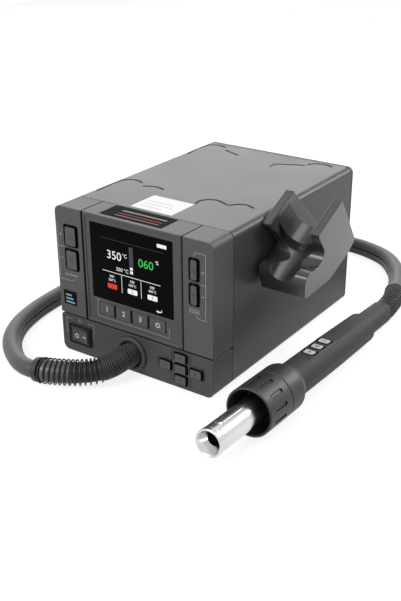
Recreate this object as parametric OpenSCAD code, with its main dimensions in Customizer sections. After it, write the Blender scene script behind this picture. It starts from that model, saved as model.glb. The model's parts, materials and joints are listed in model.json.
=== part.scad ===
// Hot air rework station: case with front panel, cradle, hose and handpiece.
// Lengths are in millimetres. X runs to the right along the front, Y to the back, Z up.
// Pieces are laid out from the case's front left bottom corner, and in_frame() moves them
// so that the origin is the middle of the footprint at bench level.

/* [Case] */
// Width of the case
case_w = 150; // [140:1:165]
// Depth of the case, front moulding and rear panel included
case_d = 217; // [205:1:240]
// Height of the case above its feet
case_h = 126; // [122:1:140]
// Wall of the mouldings
wall = 2.6; // [2:0.1:3]
// Radius of the long edges
edge_r = 5.5; // [4:0.5:7]
// Depth of the front moulding
front_d = 26; // [24:1:30]
// Gap that shows between two panels
seam = 0.4; // [0.2:0.1:0.6]
// Thickness of the rear panel
rear_t = 3; // [2:0.5:4]
// Lip that the case turns in under the base
under_lip = 12; // [10:1:16]
// Height that the rubber feet stand proud
foot_h = 1.5; // [1:0.25:3]
// Radius of a rubber foot
foot_r = 7; // [5:0.5:8]

/* [Front panel] */
// Width of each side column, up to the middle of its groove
column_w = 27.3; // [26:0.1:29]
// Width of the grooves between the front's mouldings
groove = 1.4; // [1:0.1:1.8]
// Height of the lower moulding, up to the middle of its groove
split_z = 33.3; // [33:0.1:35]
// Depth of the screen surround's own moulding
pod_d = 8.5; // [8:0.5:9]
// Depth of the stepped rim round the screen
rim_step = 0.6; // [0.4:0.1:0.8]
// Width of the screen window
window_w = 79.2; // [76:0.1:80]
// Distance of the screen window's upper edge below the case's top
window_top = 6.6; // [5:0.2:7]
// Height of the channel keys' strip above the lower moulding's groove
strip_up = 8.4; // [6:0.2:10]
// Distance of the window's lower edge above that strip
strip_web = 3; // [2:0.2:4]

/* [Keys] */
// How far a key stands proud of its panel
key_proud = 1; // [0.8:0.1:1.2]
// Travel of a key
key_travel = 0.9; // [0.6:0.1:1]
// Width of a temperature key
temp_key_w = 10.2; // [9:0.1:11]
// Width of an airflow key
air_key_w = 5.4; // [5:0.1:6.4]
// Height of a temperature or airflow key
level_key_h = 15.6; // [14:0.1:16]
// Open margin left and right of a temperature or airflow key
level_margin = 2.4; // [1.5:0.1:2.5]
// Width of the strip of channel keys
strip_w = 65.4; // [60:0.1:67]
// Height of the strip of channel keys
strip_h = 10.6; // [9:0.1:11]
// Width of a direction key
pad_key_w = 10; // [9:0.1:10.2]
// Height of a direction key
pad_key_h = 6.8; // [6:0.1:6.9]
// Distance between direction keys along the front
pad_pitch_x = 14.4; // [14.3:0.1:14.8]
// Distance between direction keys in height
pad_pitch_z = 9.5; // [9.5:0.1:9.7]

/* [Power switch] */
// Width of the switch bezel
switch_w = 23.2; // [22:0.1:24]
// Height of the switch bezel
switch_h = 17.2; // [16:0.1:17.4]
// Radius that the rocker's ends sweep about its pivot
rocker_r = 9.2; // [8.6:0.1:9.3]
// Height of the rocker
rocker_h = 10.6; // [9.6:0.1:11]
// Angle between the rocker's two stops
rocker_throw = 10; // [8:1:14]

/* [Handpiece] */
// Distance of the handpiece's axis from the case's left side
hand_x = 198; // [195:1:205]
// Distance of the guard cup's mouth in front of the case
cup_front = 27; // [20:1:35]
// Outer radius of the guard cup
cup_r = 19; // [18:0.25:20]
// Wall of the guard cup
cup_wall = 1.8; // [1.5:0.1:2.2]
// Length of the guard cup's front piece
cup_len = 30; // [28:1:34]
// Length of the cup's rear collar
collar_len = 25; // [23:1:28]
// Radius of the grip behind the cup
grip_r = 14; // [13.6:0.1:14.2]
// Length of the grip behind the collar
grip_len = 123; // [118:1:130]
// Outer radius of the nozzle tube
nozzle_r = 10.35; // [10.35:0.05:11]
// Wall of the nozzle tube
nozzle_wall = 0.5; // [0.4:0.05:0.5]
// Length of the nozzle that shows in front of the cup
nozzle_out = 50; // [46:1:56]
// Radius of the cuff behind the grip
cuff_r = 10.4; // [10:0.1:10.8]
// Length of the cuff behind the grip
cuff_len = 39; // [35:1:42]

/* [Cradle] */
// Width of the cradle across its top edges
cradle_w = 48; // [46:1:50]
// Wall of the cradle at its top edges
cradle_wall = 6.8; // [6:0.1:7.5]
// Slope of the cradle's trough above level
cradle_tilt = 25.7; // [22:0.1:28]
// Gap between the cradle and the case, filled by its pad
cradle_gap = 0.5; // [0.5:0.1:1.5]

/* [Hose] */
// Width of the hose over its two lobes
hose_w = 16; // [15:0.1:20]
// Height of the hose as it lies
hose_h = 14; // [13:0.5:14]

/* [Hidden] */

// Clearances between pieces
fit = 0.3;
slip = 0.1;
run = 0.05;
eps = 0.01;

// Colours of the finishes
charcoal = "#4b4b4c";
shell_grey = "#555657";
black = "#1c1c1d";
board_green = "#1f5a3a";
steel = "#c9cccf";
copper = "#b87333";

// Places that follow from the driving sizes
mid_x = case_w / 2;
split_lo = split_z - groove / 2;
split_hi = split_z + groove / 2;
pod_x0 = column_w + groove / 2;
pod_x1 = case_w - pod_x0;
shell_y0 = front_d + seam;
rear_y = case_d - rear_t;
window_x0 = mid_x - window_w / 2 - 0.5;
strip_z0 = split_hi + strip_up;
window_z = strip_z0 + strip_h + strip_web;
window_z1 = case_h - window_top;
board_y = 9;
board_t = 1.6;
web_y = 12;
web_t = 3;
front_t = wall;
flange_y = front_t + fit;
flange_t = 1.2;
stem_y = board_y - 3.3 - key_travel - fit;
top_strip = 3.5;
floor_z = wall + 3.8;

// Level keys: temperature on the left column, airflow on the right one
temp_x = 15.4;
air_x = case_w - 16.7;
level_gap_v = 1.7;
level_web = 1;
level_up_z = window_z1 - 17;
level_down_z = level_up_z - level_key_h - 2 * level_gap_v - level_web;

// Strip of channel keys
strip_x0 = mid_x - 1.3 - strip_w / 2;
strip_count = 4;
strip_gap = 0.8;
strip_key_w = (strip_w - (strip_count - 1) * strip_gap) / strip_count;

// Direction pad
pad_x = case_w - 29.7;
pad_z = 17;
pad_margin_x = 1.6;
pad_margin_z = 0.95;
// Line cut round the five keys: its distance from them at the arms' ends and sides, width and depth
pad_end = 2.6;
pad_side = 3.6;
pad_rim = 1.75;
pad_line_w = 0.5;
pad_line_d = 0.9;

// Power switch
switch_x = 19.6;
switch_z = 16.9;
switch_lip = 1.2;
rocker_pivot_y = 1.5;
rocker_pin_r = 1.2;

// Hose outlet
gland_x = mid_x - 2.5;
gland_z = 16;
gland_r = 14.5;

// Handpiece, laid out along its own axis from the mouth of the guard cup
collar_y = cup_len + seam;
grip_y = collar_y + collar_len;
grip_end = grip_y + grip_len;
grip_rear_r = grip_r - 0.8;
cuff_end = grip_end + cuff_len;
cuff_rear_r = cuff_r - 0.4;
rest_rear = grip_end - 8;
hand_tilt = atan((cup_r - grip_rear_r) / (rest_rear - cup_len));
hand_z = cup_r * cos(hand_tilt) + cup_len * sin(hand_tilt) - foot_h + 0.05;
facet_z = grip_r - 1.9;
panel_y0 = grip_y + 19;
panel_y1 = panel_y0 + 46;
button_pitch = 12;
button_y = panel_y0 + 12.5;
button_w = 8.4;
button_l = 6.2;
button_count = 3;
barrel_r = nozzle_r - nozzle_wall - run;
barrel_wall = 0.5;
pin_y = -nozzle_out + 12;
nozzle_twist = 22;
slot_half = 1.2;
lock_pin_r = 0.9;

// Cradle, drawn along the case's right side
cradle_x = case_w + cradle_gap + cradle_w / 2;
cradle_top_y = 99.5;
cradle_top_z = 138.4;
cradle_lean = 0.134;

// Middle of the footprint
ref_x = (hand_x + cup_r) / 2;
inlet_proud = 1.5;
screw_head = 1.8;
tip_round = 0.7;
tip_reach = (nozzle_out - tip_round) * cos(hand_tilt) + (nozzle_r - 0.35) * sin(hand_tilt) + tip_round;
ref_y = (case_d + screw_head - cup_front - tip_reach) / 2;

// The hose's route over the bench: x, y from the case's corner and z above the bench
hose_route = [
  [11, -52.4, 9.8], [4, -51, 9.2], [-6, -46.6, 8.2], [-20, -38, 7.3], [-32, -28.5, 7.2], [-43, -16, 7.2],
  [-53, 2, 7.2], [-60, 24, 7.2], [-64, 48, 7.2], [-66, 82, 7.2], [-64, 124, 7.2], [-58, 168, 7.2],
  [-46, 214, 7.2], [-25, 257, 7.2], [7, 293, 7.2], [51, 320, 7.2], [99, 330, 7.2], [141, 318, 7.2],
  [167, 291, 7.2], [181, 262, 7.6], [187, 243, 8.6]
];
// The sleeve of spring wire between the outlet and its collar
sleeve_route = [
  [72.5, 1.4, 17.5], [72.5, -4, 17.5], [71.6, -10, 17], [68, -20, 14.2], [60, -30, 11.4], [49, -38.8, 10.6],
  [37, -45.6, 10.6], [28, -49.6, 10.6], [21, -51.5, 10.4]
];
// The sleeve of spring wire behind the handpiece's cuff
tail_route = [
  [198, cuff_end * cos(hand_tilt) - cup_front, hand_z + foot_h - cuff_end * sin(hand_tilt)],
  [197.4, 201, 10.2], [194.6, 221, 9.7], [190.2, 236, 9.2], [187, 243, 8.6]
];

// Puts a piece that is laid out from the case's corner into the part's frame
module in_frame() { translate([-ref_x, -ref_y, foot_h]) children(); }

// Puts a piece that is laid out along the handpiece's axis beside the case
module on_hand() {
  in_frame() translate([hand_x, -cup_front, hand_z]) rotate([-hand_tilt, 0, 0]) children();
}

// Rounded rectangle from its lower left corner
module round_rect(w, h, r) {
  translate([r, 0]) square([w - 2 * r, h]);
  translate([0, r]) square([w, h - 2 * r]);
  for (x = [r, w - r], y = [r, h - r]) translate([x, y]) circle(r = r, $fn = 32);
}

// Panel with round corners: an XZ rectangle from one depth to another
module panel(x0, z0, x1, z1, y0, y1, r) {
  translate([0, y1, 0]) rotate([90, 0, 0]) linear_extrude(y1 - y0)
    translate([x0, z0]) round_rect(x1 - x0, z1 - z0, r);
}

// Plain block between two corners
module block(a, b) { translate(a) cube(b - a); }

// Turned piece about the Y axis: points are radius and distance along the axis
module turned(profile, facets = 64) {
  rotate([-90, 0, 0]) rotate_extrude($fn = facets) polygon(profile);
}

// Round bar or hole along Y
module rod_y(r, y0, y1, facets = 48) {
  translate([0, y0, 0]) rotate([-90, 0, 0]) cylinder(r = r, h = y1 - y0, $fn = facets);
}

// Points of an arc in a profile
function arc(cx, cy, r, a0, a1, n = 6) =
  [for (i = [0:n]) [cx + r * cos(a0 + (a1 - a0) * i / n), cy + r * sin(a0 + (a1 - a0) * i / n)]];

// Smooth curve through points: position on the stretch after point i, at share t
function clamp_i(p, i) = p[max(0, min(len(p) - 1, i))];
function curve_at(p, i, t) =
  let (a = clamp_i(p, i - 1), b = clamp_i(p, i), c = clamp_i(p, i + 1), d = clamp_i(p, i + 2))
  0.5 * (2 * b + (c - a) * t + (2 * a - 5 * b + 4 * c - d) * t * t
         + (3 * b - a - 3 * c + d) * t * t * t);
function curve(p, steps) =
  concat([for (i = [0:len(p) - 2], k = [0:steps - 1]) curve_at(p, i, k / steps)], [p[len(p) - 1]]);
function unit(v) = v / norm(v);

// Closed tube swept along a line, with half width a and half height b given for each ring
module swept(line, half_w, half_h, sides = 10) {
  n = len(line);
  rings = [for (i = [0:n - 1])
    let (ahead = unit(clamp_i(line, i + 1) - clamp_i(line, i - 1)),
         side = unit(cross(ahead, [0, 0, 1])), up = cross(side, ahead))
    for (k = [0:sides - 1])
      line[i] + side * half_w[i] * cos(360 * k / sides) + up * half_h[i] * sin(360 * k / sides)];
  skin = [for (i = [0:n - 2], k = [0:sides - 1])
    let (a = i * sides + k, b = i * sides + (k + 1) % sides)
    [a, b, b + sides, a + sides]];
  ends = [[for (k = [sides - 1:-1:0]) k], [for (k = [0:sides - 1]) (n - 1) * sides + k]];
  polyhedron(points = rings, faces = concat([for (f = skin) [f[3], f[2], f[1], f[0]]],
             [for (f = ends) [for (k = [len(f) - 1:-1:0]) f[k]]]), convexity = 8);
}

// Case

// Outline of the case seen from the front, drawn in by inset
module case_outline(inset = 0) {
  translate([inset, inset]) round_rect(case_w - 2 * inset, case_h - 2 * inset, edge_r - inset);
}
module case_prism(inset, y0, y1) {
  translate([0, y1, 0]) rotate([90, 0, 0]) linear_extrude(y1 - y0) case_outline(inset);
}

// Groove cut into the case's top along a smooth line
module top_groove(points, width = 2.1, depth = 0.8) {
  line = curve(points, 3);
  n = len(line);
  side = [for (i = [0:n - 1]) let (d = unit(clamp_i(line, i + 1) - clamp_i(line, i - 1)))
    [-d[1], d[0]] * width / 2];
  translate([0, 0, case_h - depth]) linear_extrude(depth + 1)
    polygon(concat([for (i = [0:n - 1]) line[i] + side[i]],
                   [for (i = [n - 1:-1:0]) line[i] - side[i]]));
}
// Two arched strokes of one corner, from its outer end inwards
arch_front = [
  [[6, 44], [5.4, 60], [5.6, 73], [9.6, 80.6], [17, 83], [24.6, 80]],
  [[30, 73.8], [36.8, 77.2], [43.4, 78], [50, 75.4]]
];
arch_back = [
  [[7.4, 170], [4.9, 187], [6, 202.5], [13, 208.6], [24.3, 206.4]],
  [[29.5, 198.6], [39, 194.6], [48, 191.2]]
];
arch_front_right = [
  [[case_w - 58.4, 61.5], [case_w - 60, 70], [case_w - 55.6, 76.4], [case_w - 48, 78.2],
   [case_w - 36.2, 73.2]],
  [[case_w - 35.4, 73.4], [case_w - 31, 79.1], [case_w - 24.5, 82], [case_w - 15.5, 78.5]]
];
arch_back_right = [
  [[case_w - 61, 178], [case_w - 60.6, 186.3], [case_w - 54, 190.8], [case_w - 37.3, 197.9]],
  [[case_w - 36, 199.6], [case_w - 34.3, 205], [case_w - 27.6, 209.2], [case_w - 20.7, 209],
   [case_w - 15.5, 206.6]]
];

screw_boss_r = 3.4;
screw_r = 1.5;
rear_screw_x = 9;
rear_screw_z = [16, case_h - 12];

boss_len = 12;
module case_shell() {
  color(shell_grey) in_frame() difference() {
    union() {
      difference() {
        case_prism(0, shell_y0, rear_y - seam);
        case_prism(wall, shell_y0 - 1, rear_y);
      }
      // bosses that take the rear panel's screws
      for (z = rear_screw_z) {
        translate([rear_screw_x, 0, z]) rod_y(screw_boss_r, rear_y - boss_len, rear_y, 32);
        translate([case_w - rear_screw_x, 0, z]) rod_y(screw_boss_r, rear_y - boss_len, rear_y, 32);
        block([wall - eps, rear_y - boss_len, z - 2.4], [rear_screw_x, rear_y, z + 2.4]);
        block([case_w - rear_screw_x, rear_y - boss_len, z - 2.4], [case_w - wall + eps, rear_y, z + 2.4]);
      }
    }
    for (x = [rear_screw_x, case_w - rear_screw_x], z = rear_screw_z)
      translate([x, 0, z]) rod_y(screw_r + slip, rear_y - boss_len + 2, rear_y + 1, 24);
    block([under_lip, shell_y0 - 1, -1], [case_w - under_lip, case_d, wall + 1]);
    for (arch = [arch_front, arch_back, arch_front_right, arch_back_right], stroke = arch)
      top_groove(stroke);
    for (p = cradle_screw_at)
      translate([case_w - wall - 1, p[0], p[1]]) rotate([0, 90, 0])
        cylinder(r = screw_r + fit, h = wall + 2, $fn = 24);
  }
}

tray_vent_w = 3;
tray_vent_l = 34;
foot_in_x = 22;
foot_in_y = 46;
foot_places = [for (x = [foot_in_x, case_w - foot_in_x], y = [foot_in_y, case_d - 22]) [x, y]];

module base_tray() {
  tray_y0 = shell_y0 + fit;
  tray_y1 = rear_y - seam - fit;
  color(charcoal) in_frame() difference() {
    union() {
      block([under_lip + fit, tray_y0, 0], [case_w - under_lip - fit, tray_y1, wall + eps]);
      block([wall + edge_r, tray_y0, wall], [case_w - wall - edge_r, tray_y1, floor_z]);
      block([wall, tray_y0, wall + 3], [case_w - wall, tray_y1 - 7, floor_z]);
      for (x = [wall, case_w - wall - 1.6])
        block([x, tray_y0, wall + 3], [x + 1.6, tray_y1 - 7, floor_z + 6]);
      block([30, 12, wall], [pad_x - 24, tray_y0 + 1, floor_z]);
      for (p = psu_posts) translate([p[0], p[1], floor_z]) cylinder(r = 3, h = board_up, $fn = 32);
      for (p = main_posts) translate([p[0], p[1], floor_z]) cylinder(r = 3, h = board_up, $fn = 32);
    }
    for (i = [0:11])
      block([mid_x - 36 + 6 * i, 78, -1], [mid_x - 36 + 6 * i + tray_vent_w, 78 + tray_vent_l, floor_z + 1]);
    for (p = foot_places) translate([p[0], p[1], -1]) cylinder(r = foot_r + slip, h = 2, $fn = 48);
  }
}

module feet() {
  color(black) in_frame() for (p = foot_places)
    translate([p[0], p[1], -foot_h]) union() {
      cylinder(r1 = foot_r - 0.6, r2 = foot_r, h = 0.6, $fn = 48);
      translate([0, 0, 0.6]) cylinder(r = foot_r, h = foot_h + 1 - 0.6, $fn = 48);
    }
}

inlet_x = 40;
inlet_z = 25;
inlet_w = 27.6;
inlet_h = 20;
vent_rows = 9;
vent_pitch = 5.4;

module rear_panel() {
  color(charcoal) in_frame() difference() {
    union() {
      case_prism(0, rear_y, case_d);
      difference() {
        case_prism(wall + eps, rear_y - 6, rear_y + eps);
        case_prism(wall + 1.8, rear_y - 7, rear_y + 1);
        block([0, rear_y - 7, 0], [case_w, rear_y, floor_z + 7]);
        for (x = [rear_screw_x, case_w - rear_screw_x], z = rear_screw_z)
          block([x - 7, rear_y - 7, z - screw_boss_r - 1], [x + 7, rear_y, z + screw_boss_r + 1]);
      }
    }
    panel(inlet_x - inlet_w / 2 - slip, inlet_z - inlet_h / 2 - slip,
          inlet_x + inlet_w / 2 + slip, inlet_z + inlet_h / 2 + slip, rear_y - 1, case_d + 1, 2);
    for (i = [0:vent_rows - 1], side = [-1, 1])
      panel(mid_x + side * 28 - 20, 58 + i * vent_pitch, mid_x + side * 28 + 20,
            60.2 + i * vent_pitch, rear_y - 1, case_d + 1, 1.05);
    for (x = [rear_screw_x, case_w - rear_screw_x], z = rear_screw_z)
      translate([x, 0, z]) rod_y(screw_r + slip, rear_y - 1, case_d + 1, 24);
    for (side = [-1, 1]) translate([inlet_x + side * 20, 0, inlet_z])
      rod_y(screw_r + slip, rear_y - 1, case_d + 1, 24);
  }
}

// Pan head screw along Y with a cross recess, its head towards the back
module pan_screw(len_in) {
  difference() {
    union() {
      turned([[0, 0], [2.9, 0], [2.9, 0.7], [2.2, 1.5], [1, screw_head], [0, screw_head]], 32);
      rod_y(screw_r, -len_in, 0, 24);
    }
    for (a = [0, 90]) rotate([0, a, 0]) block([-1.6, 0.9, -0.35], [1.6, 2, 0.35]);
  }
}
module case_screws() {
  color(steel) in_frame() {
    for (x = [rear_screw_x, case_w - rear_screw_x], z = rear_screw_z)
      translate([x, case_d, z]) pan_screw(rear_t + 3);
    for (side = [-1, 1]) translate([inlet_x + side * 20, case_d, inlet_z]) pan_screw(rear_t + 2);
  }
}

// Front mouldings

// Opening for a level key, and the key's place
module level_opening(x, z, key_w, y1) {
  panel(x - key_w / 2 - level_margin, z - level_key_h / 2 - level_gap_v,
        x + key_w / 2 + level_margin, z + level_key_h / 2 + level_gap_v, -1, y1, 2.4);
}

module front_frame() {
  color(charcoal) in_frame() difference() {
    case_prism(0, 0, front_d);
    // lower moulding's place
    block([-1, -1, -1], [case_w + 1, front_d + 1, split_hi]);
    // hollow behind the columns and above the web
    difference() {
      case_prism(wall, front_t, front_d + 1);
      for (x = [column_w - groove / 2 - wall, case_w - column_w + groove / 2])
        block([x, 0, 0], [x + wall, pod_d, case_h]);
      block([0, web_y, 0], [case_w, web_y + web_t, case_h]);
    }
    // place of the screen surround, open over the top
    block([column_w - groove / 2, -1, 0], [case_w - column_w + groove / 2, web_y, case_h + 1]);
    block([column_w - groove / 2, web_y - 1, case_h - top_strip - fit],
          [case_w - column_w + groove / 2, front_d + 1, case_h + 1]);
    // room for the lower moulding's tongue
    for (x = [wall - eps, case_w - wall - 2])
      block([x, front_t + 0.5, split_hi - 1], [x + 2, front_d - 0.5, split_hi + 2.4]);
    // window and wiring through the web
    panel(window_x0 + 4, window_z + 4, window_x0 + window_w - 4, window_z1 - 4, 5, web_y + web_t + 1, 3);
    for (x = [8, case_w - 22]) panel(x, 60, x + 14, 72, web_y - 1, web_y + web_t + 1, 2);
    for (z = [level_up_z, level_down_z]) {
      level_opening(temp_x, z, temp_key_w, front_t + 1);
      level_opening(air_x, z, air_key_w, front_t + 1);
    }
  }
  color(charcoal) in_frame() {
    // posts that carry the display board
    for (x = post_x, z = post_z) translate([x, 0, z]) rod_y(2.4, board_y + board_t, web_y + 0.5, 24);
    // lugs that reach into the case
    for (z = [50, 100]) {
      block([wall - 0.5, 18, z], [wall + 1.8, front_d, z + 14]);
      block([wall, front_d - 1, z], [wall + 1.8, front_d + 9, z + 14]);
      block([case_w - wall - 1.8, 18, z], [case_w - wall + 0.5, front_d, z + 14]);
      block([case_w - wall - 1.8, front_d - 1, z], [case_w - wall, front_d + 9, z + 14]);
    }
  }
}
post_x = [34, case_w - 34];
post_z = [40, 52];

module display_pod() {
  color(charcoal) in_frame() difference() {
    union() {
      block([pod_x0, 0, split_hi], [pod_x1, pod_d, case_h]);
      block([pod_x0, 0, case_h - top_strip], [pod_x1, front_d, case_h]);
    }
    // hollow behind the face
    block([pod_x0 + wall, front_t, split_hi + wall], [pod_x1 - wall, pod_d + 1, case_h - top_strip]);
    // stepped rim
    panel(pod_x0 + 2.4, split_hi + 2, pod_x1 - 2.4, case_h - 2.6, -1, rim_step, 1.5);
    panel(window_x0, window_z, window_x0 + window_w, window_z1, -1, front_t + 1, 1);
    panel(strip_x0 - fit, strip_z0 - fit, strip_x0 + strip_w + fit, strip_z0 + strip_h + fit,
          -1, front_t + 1, 0.8);
    // edges of the face eased along the grooves
    for (x = [pod_x0, pod_x1]) translate([x, 0, 0]) rotate([0, 0, 45])
      block([-0.6, -0.6, 0], [0.6, 0.6, case_h + 1]);
  }
  // posts that press the display board against the frame
  color(charcoal) in_frame() for (x = post_x, z = post_z)
    translate([x, 0, z]) rod_y(2.4, front_t - eps, board_y, 24);
}

// Cross that takes in the five direction keys, grown by a margin, from the front to a depth
module pad_cross(grow, y1) {
  for (arm = [[pad_pitch_x + pad_key_w / 2 + pad_end, pad_key_h / 2 + pad_rim],
              [pad_key_w / 2 + pad_side, pad_pitch_z + pad_key_h / 2 + pad_rim]])
    panel(pad_x - arm[0] - grow, pad_z - arm[1] - grow, pad_x + arm[0] + grow, pad_z + arm[1] + grow,
          -1, y1, 2 + grow);
}

module lower_panel() {
  hollow_z = split_lo + 1;
  color(charcoal) in_frame() difference() {
    case_prism(0, 0, front_d);
    block([-1, -1, split_lo], [case_w + 1, front_d + 1, case_h + 1]);
    difference() {
      case_prism(wall, front_t, front_d + 1);
      // posts for the direction pad's board
      for (x = [pad_x - 19, pad_x + 19]) translate([x, 0, pad_z - 11]) rod_y(2.2, 0, board_y, 24);
    }
    block([wall, front_t, wall + 6], [case_w - wall, front_d + 1, hollow_z]);
    panel(switch_x - switch_w / 2 + 1.2, switch_z - switch_h / 2 + 1.2, switch_x + switch_w / 2 - 1.2,
          switch_z + switch_h / 2 - 1.2, -1, front_t + 1, 0.8);
    translate([gland_x, 0, gland_z]) rod_y(gland_r - 2.5 + slip, -1, front_t + 1);
    for (p = pad_places)
      panel(p[0] - pad_key_w / 2 - pad_margin_x, p[1] - pad_key_h / 2 - pad_margin_z,
            p[0] + pad_key_w / 2 + pad_margin_x, p[1] + pad_key_h / 2 + pad_margin_z, -1, front_t + 1, 1.5);
    // line that frames the direction pad
    difference() {
      pad_cross(pad_line_w / 2, pad_line_d);
      translate([0, -1, 0]) pad_cross(-pad_line_w / 2, pad_line_d + 2);
    }
    // easing along the groove that runs round the case
    for (x = [0, case_w]) translate([x, 0, split_lo]) rotate([0, 45, 0])
      block([-0.8, -1, -0.8], [0.8, front_d + 1, 0.8]);
  }
  // tongue behind that groove
  color(charcoal) in_frame() {
    block([wall - eps, front_t - eps, split_lo - 1.2], [case_w - wall + eps, front_t + 1.6, split_hi]);
    for (x = [wall - eps, case_w - wall - 1.6])
      block([x, front_t, split_lo - 3], [x + 1.6 + eps, front_d - 1, split_lo]);
    for (x = [wall, case_w - wall - 1.6])
      block([x, front_t, split_lo - 1], [x + 1.6, front_d - 1, split_hi + 2]);
  }
}

module screen_window() {
  color("#101214") in_frame() panel(window_x0 + slip, window_z + slip, window_x0 + window_w - slip,
    window_z1 - slip, rim_step + 0.3, front_t, 0.8);
}

// The display module fills the surround's hollow, behind the window
lcd_x0 = pod_x0 + wall + fit;
lcd_z0 = window_z - 1;
lcd_z1 = case_h - top_strip - fit;
lcd_t = 4;
lcd_rim = 8;
module lcd_module() {
  color("#2b2d30") in_frame() difference() {
    panel(lcd_x0, lcd_z0, case_w - lcd_x0, lcd_z1, front_t, front_t + lcd_t, 1);
    block([lcd_x0 + lcd_rim, front_t + lcd_t - 1, lcd_z0 + lcd_rim],
          [case_w - lcd_x0 - lcd_rim, front_t + lcd_t + 1, lcd_z1 - lcd_rim]);
  }
}

// Small push switch on a board: body, and a round plunger towards the key
module tact(x, z) {
  block([x - 3, board_y - 2.5, z - 3], [x + 3, board_y, z + 3]);
  translate([x, 0, z]) rod_y(1.7, board_y - 3.3, board_y - 2.5, 24);
}
module display_board() {
  color(board_green) in_frame() {
    difference() {
      panel(wall + 2, split_hi + 2, case_w - wall - 2, case_h - 7, board_y, board_y + board_t, 2);
      for (x = post_x, z = post_z) translate([x, 0, z]) rod_y(1.2, board_y - 1, board_y + board_t + 1, 24);
    }
    for (z = [level_up_z, level_down_z]) {
      tact(temp_x, z);
      tact(air_x, z);
    }
    for (i = [0:strip_count - 1]) tact(strip_key_x(i), strip_z0 + strip_h / 2);
    block([mid_x - 20, front_t + lcd_t, window_z + 16], [mid_x + 20, board_y, window_z1 - 15.4]);
  }
}

module pad_board() {
  color(board_green) in_frame() {
    panel(pad_x - 22, 4, case_w - wall - 2, 31, board_y, board_y + board_t, 1.5);
    for (p = pad_places) tact(p[0], p[1]);
  }
}

// Push key: cap with round corners, a flange that keeps it behind the panel, and a stem
module push_key(x, z, w, h, r, flange_x, flange_z, proud) {
  panel(x - w / 2, z - h / 2, x + w / 2, z + h / 2, -proud, flange_y + eps, r);
  panel(x - w / 2 - flange_x, z - h / 2 - flange_z, x + w / 2 + flange_x, z + h / 2 + flange_z,
        flange_y, flange_y + flange_t, r);
  translate([x, 0, z]) rod_y(1.8, flange_y + flange_t - eps, stem_y, 24);
}

// Raised arrow outline on a key's face, pointing up or down
module key_arrow(x, z, w, way, proud) {
  translate([x, -proud + 0.2, z]) rotate([90, 0, 0]) linear_extrude(0.4) difference() {
    polygon([[-w / 2, -way * w / 2], [w / 2, -way * w / 2], [0, way * w / 2]]);
    translate([0, -way * w * 0.08]) scale(0.62)
      polygon([[-w / 2, -way * w / 2], [w / 2, -way * w / 2], [0, way * w / 2]]);
  }
}
module level_key(x, z, w, way) {
  color(charcoal) in_frame() {
    push_key(x, z, w, level_key_h, 1.6, level_margin + 0.8, 0.75, key_proud);
    key_arrow(x, z, min(5.4, w - 1.4), way, key_proud);
  }
}
module temp_key_up() { level_key(temp_x, level_up_z, temp_key_w, 1); }
module temp_key_down() { level_key(temp_x, level_down_z, temp_key_w, -1); }
module air_key_up() { level_key(air_x, level_up_z, air_key_w, 1); }
module air_key_down() { level_key(air_x, level_down_z, air_key_w, -1); }

function strip_key_x(i) = strip_x0 + strip_key_w / 2 + i * (strip_key_w + strip_gap);
module channel_key(i) {
  color(charcoal) in_frame()
    push_key(strip_key_x(i), strip_z0 + strip_h / 2, strip_key_w, strip_h, 0.5, 0.2, 1.4, -rim_step);
}
module channel_key_1() { channel_key(0); }
module channel_key_2() { channel_key(1); }
module channel_key_3() { channel_key(2); }
module cycle_key() { channel_key(3); }

pad_places = [
  [pad_x, pad_z + pad_pitch_z], [pad_x - pad_pitch_x, pad_z], [pad_x, pad_z],
  [pad_x + pad_pitch_x, pad_z], [pad_x, pad_z - pad_pitch_z]
];
module pad_key(i) {
  color(charcoal) in_frame()
    push_key(pad_places[i][0], pad_places[i][1], pad_key_w, pad_key_h, 0.9, pad_margin_x + 0.3,
             pad_margin_z + 0.2, key_proud + 0.5);
}
module pad_key_up() { pad_key(0); }
module pad_key_left() { pad_key(1); }
module pad_key_centre() { pad_key(2); }
module pad_key_right() { pad_key(3); }
module pad_key_down() { pad_key(4); }

module switch_frame() {
  body_h = rocker_h + 3;
  color(black) in_frame() translate([switch_x, 0, switch_z]) {
    difference() {
      union() {
        panel(-switch_w / 2, -switch_h / 2, switch_w / 2, switch_h / 2, -switch_lip, 0, 1.2);
        panel(-switch_w / 2 + 1.4, -body_h / 2, switch_w / 2 - 1.4, body_h / 2, -eps, 15, 0.6);
      }
      panel(-rocker_r - 0.35, -rocker_h / 2 - fit, rocker_r + 0.35, rocker_h / 2 + fit, -2, 11.5, 0.3);
      translate([0, rocker_pivot_y, -body_h / 2 - 1]) cylinder(r = rocker_pin_r + run, h = body_h + 2, $fn = 48);
    }
    for (x = [-6, 0, 6]) block([x - 0.4, 15 - eps, -3], [x + 0.4, 22, 3]);
  }
}

module power_rocker() {
  color(black) in_frame() translate([switch_x, rocker_pivot_y, switch_z]) {
    intersection() {
      translate([0, 0, -rocker_h / 2]) linear_extrude(rocker_h) polygon([
        [-10, -rocker_pivot_y - switch_lip], [0, -rocker_pivot_y - switch_lip],
        [10, -rocker_pivot_y - switch_lip - 10 * tan(rocker_throw)], [10, 0.6], [2.2, 2.6],
        [-2.2, 2.6], [-10, 0.6]
      ]);
      translate([0, 0, -rocker_h / 2 - 1]) cylinder(r = rocker_r, h = rocker_h + 2, $fn = 64);
    }
    translate([0, 0, -rocker_h / 2 - 1.3]) cylinder(r = rocker_pin_r, h = rocker_h + 2.6, $fn = 32);
  }
}

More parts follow.
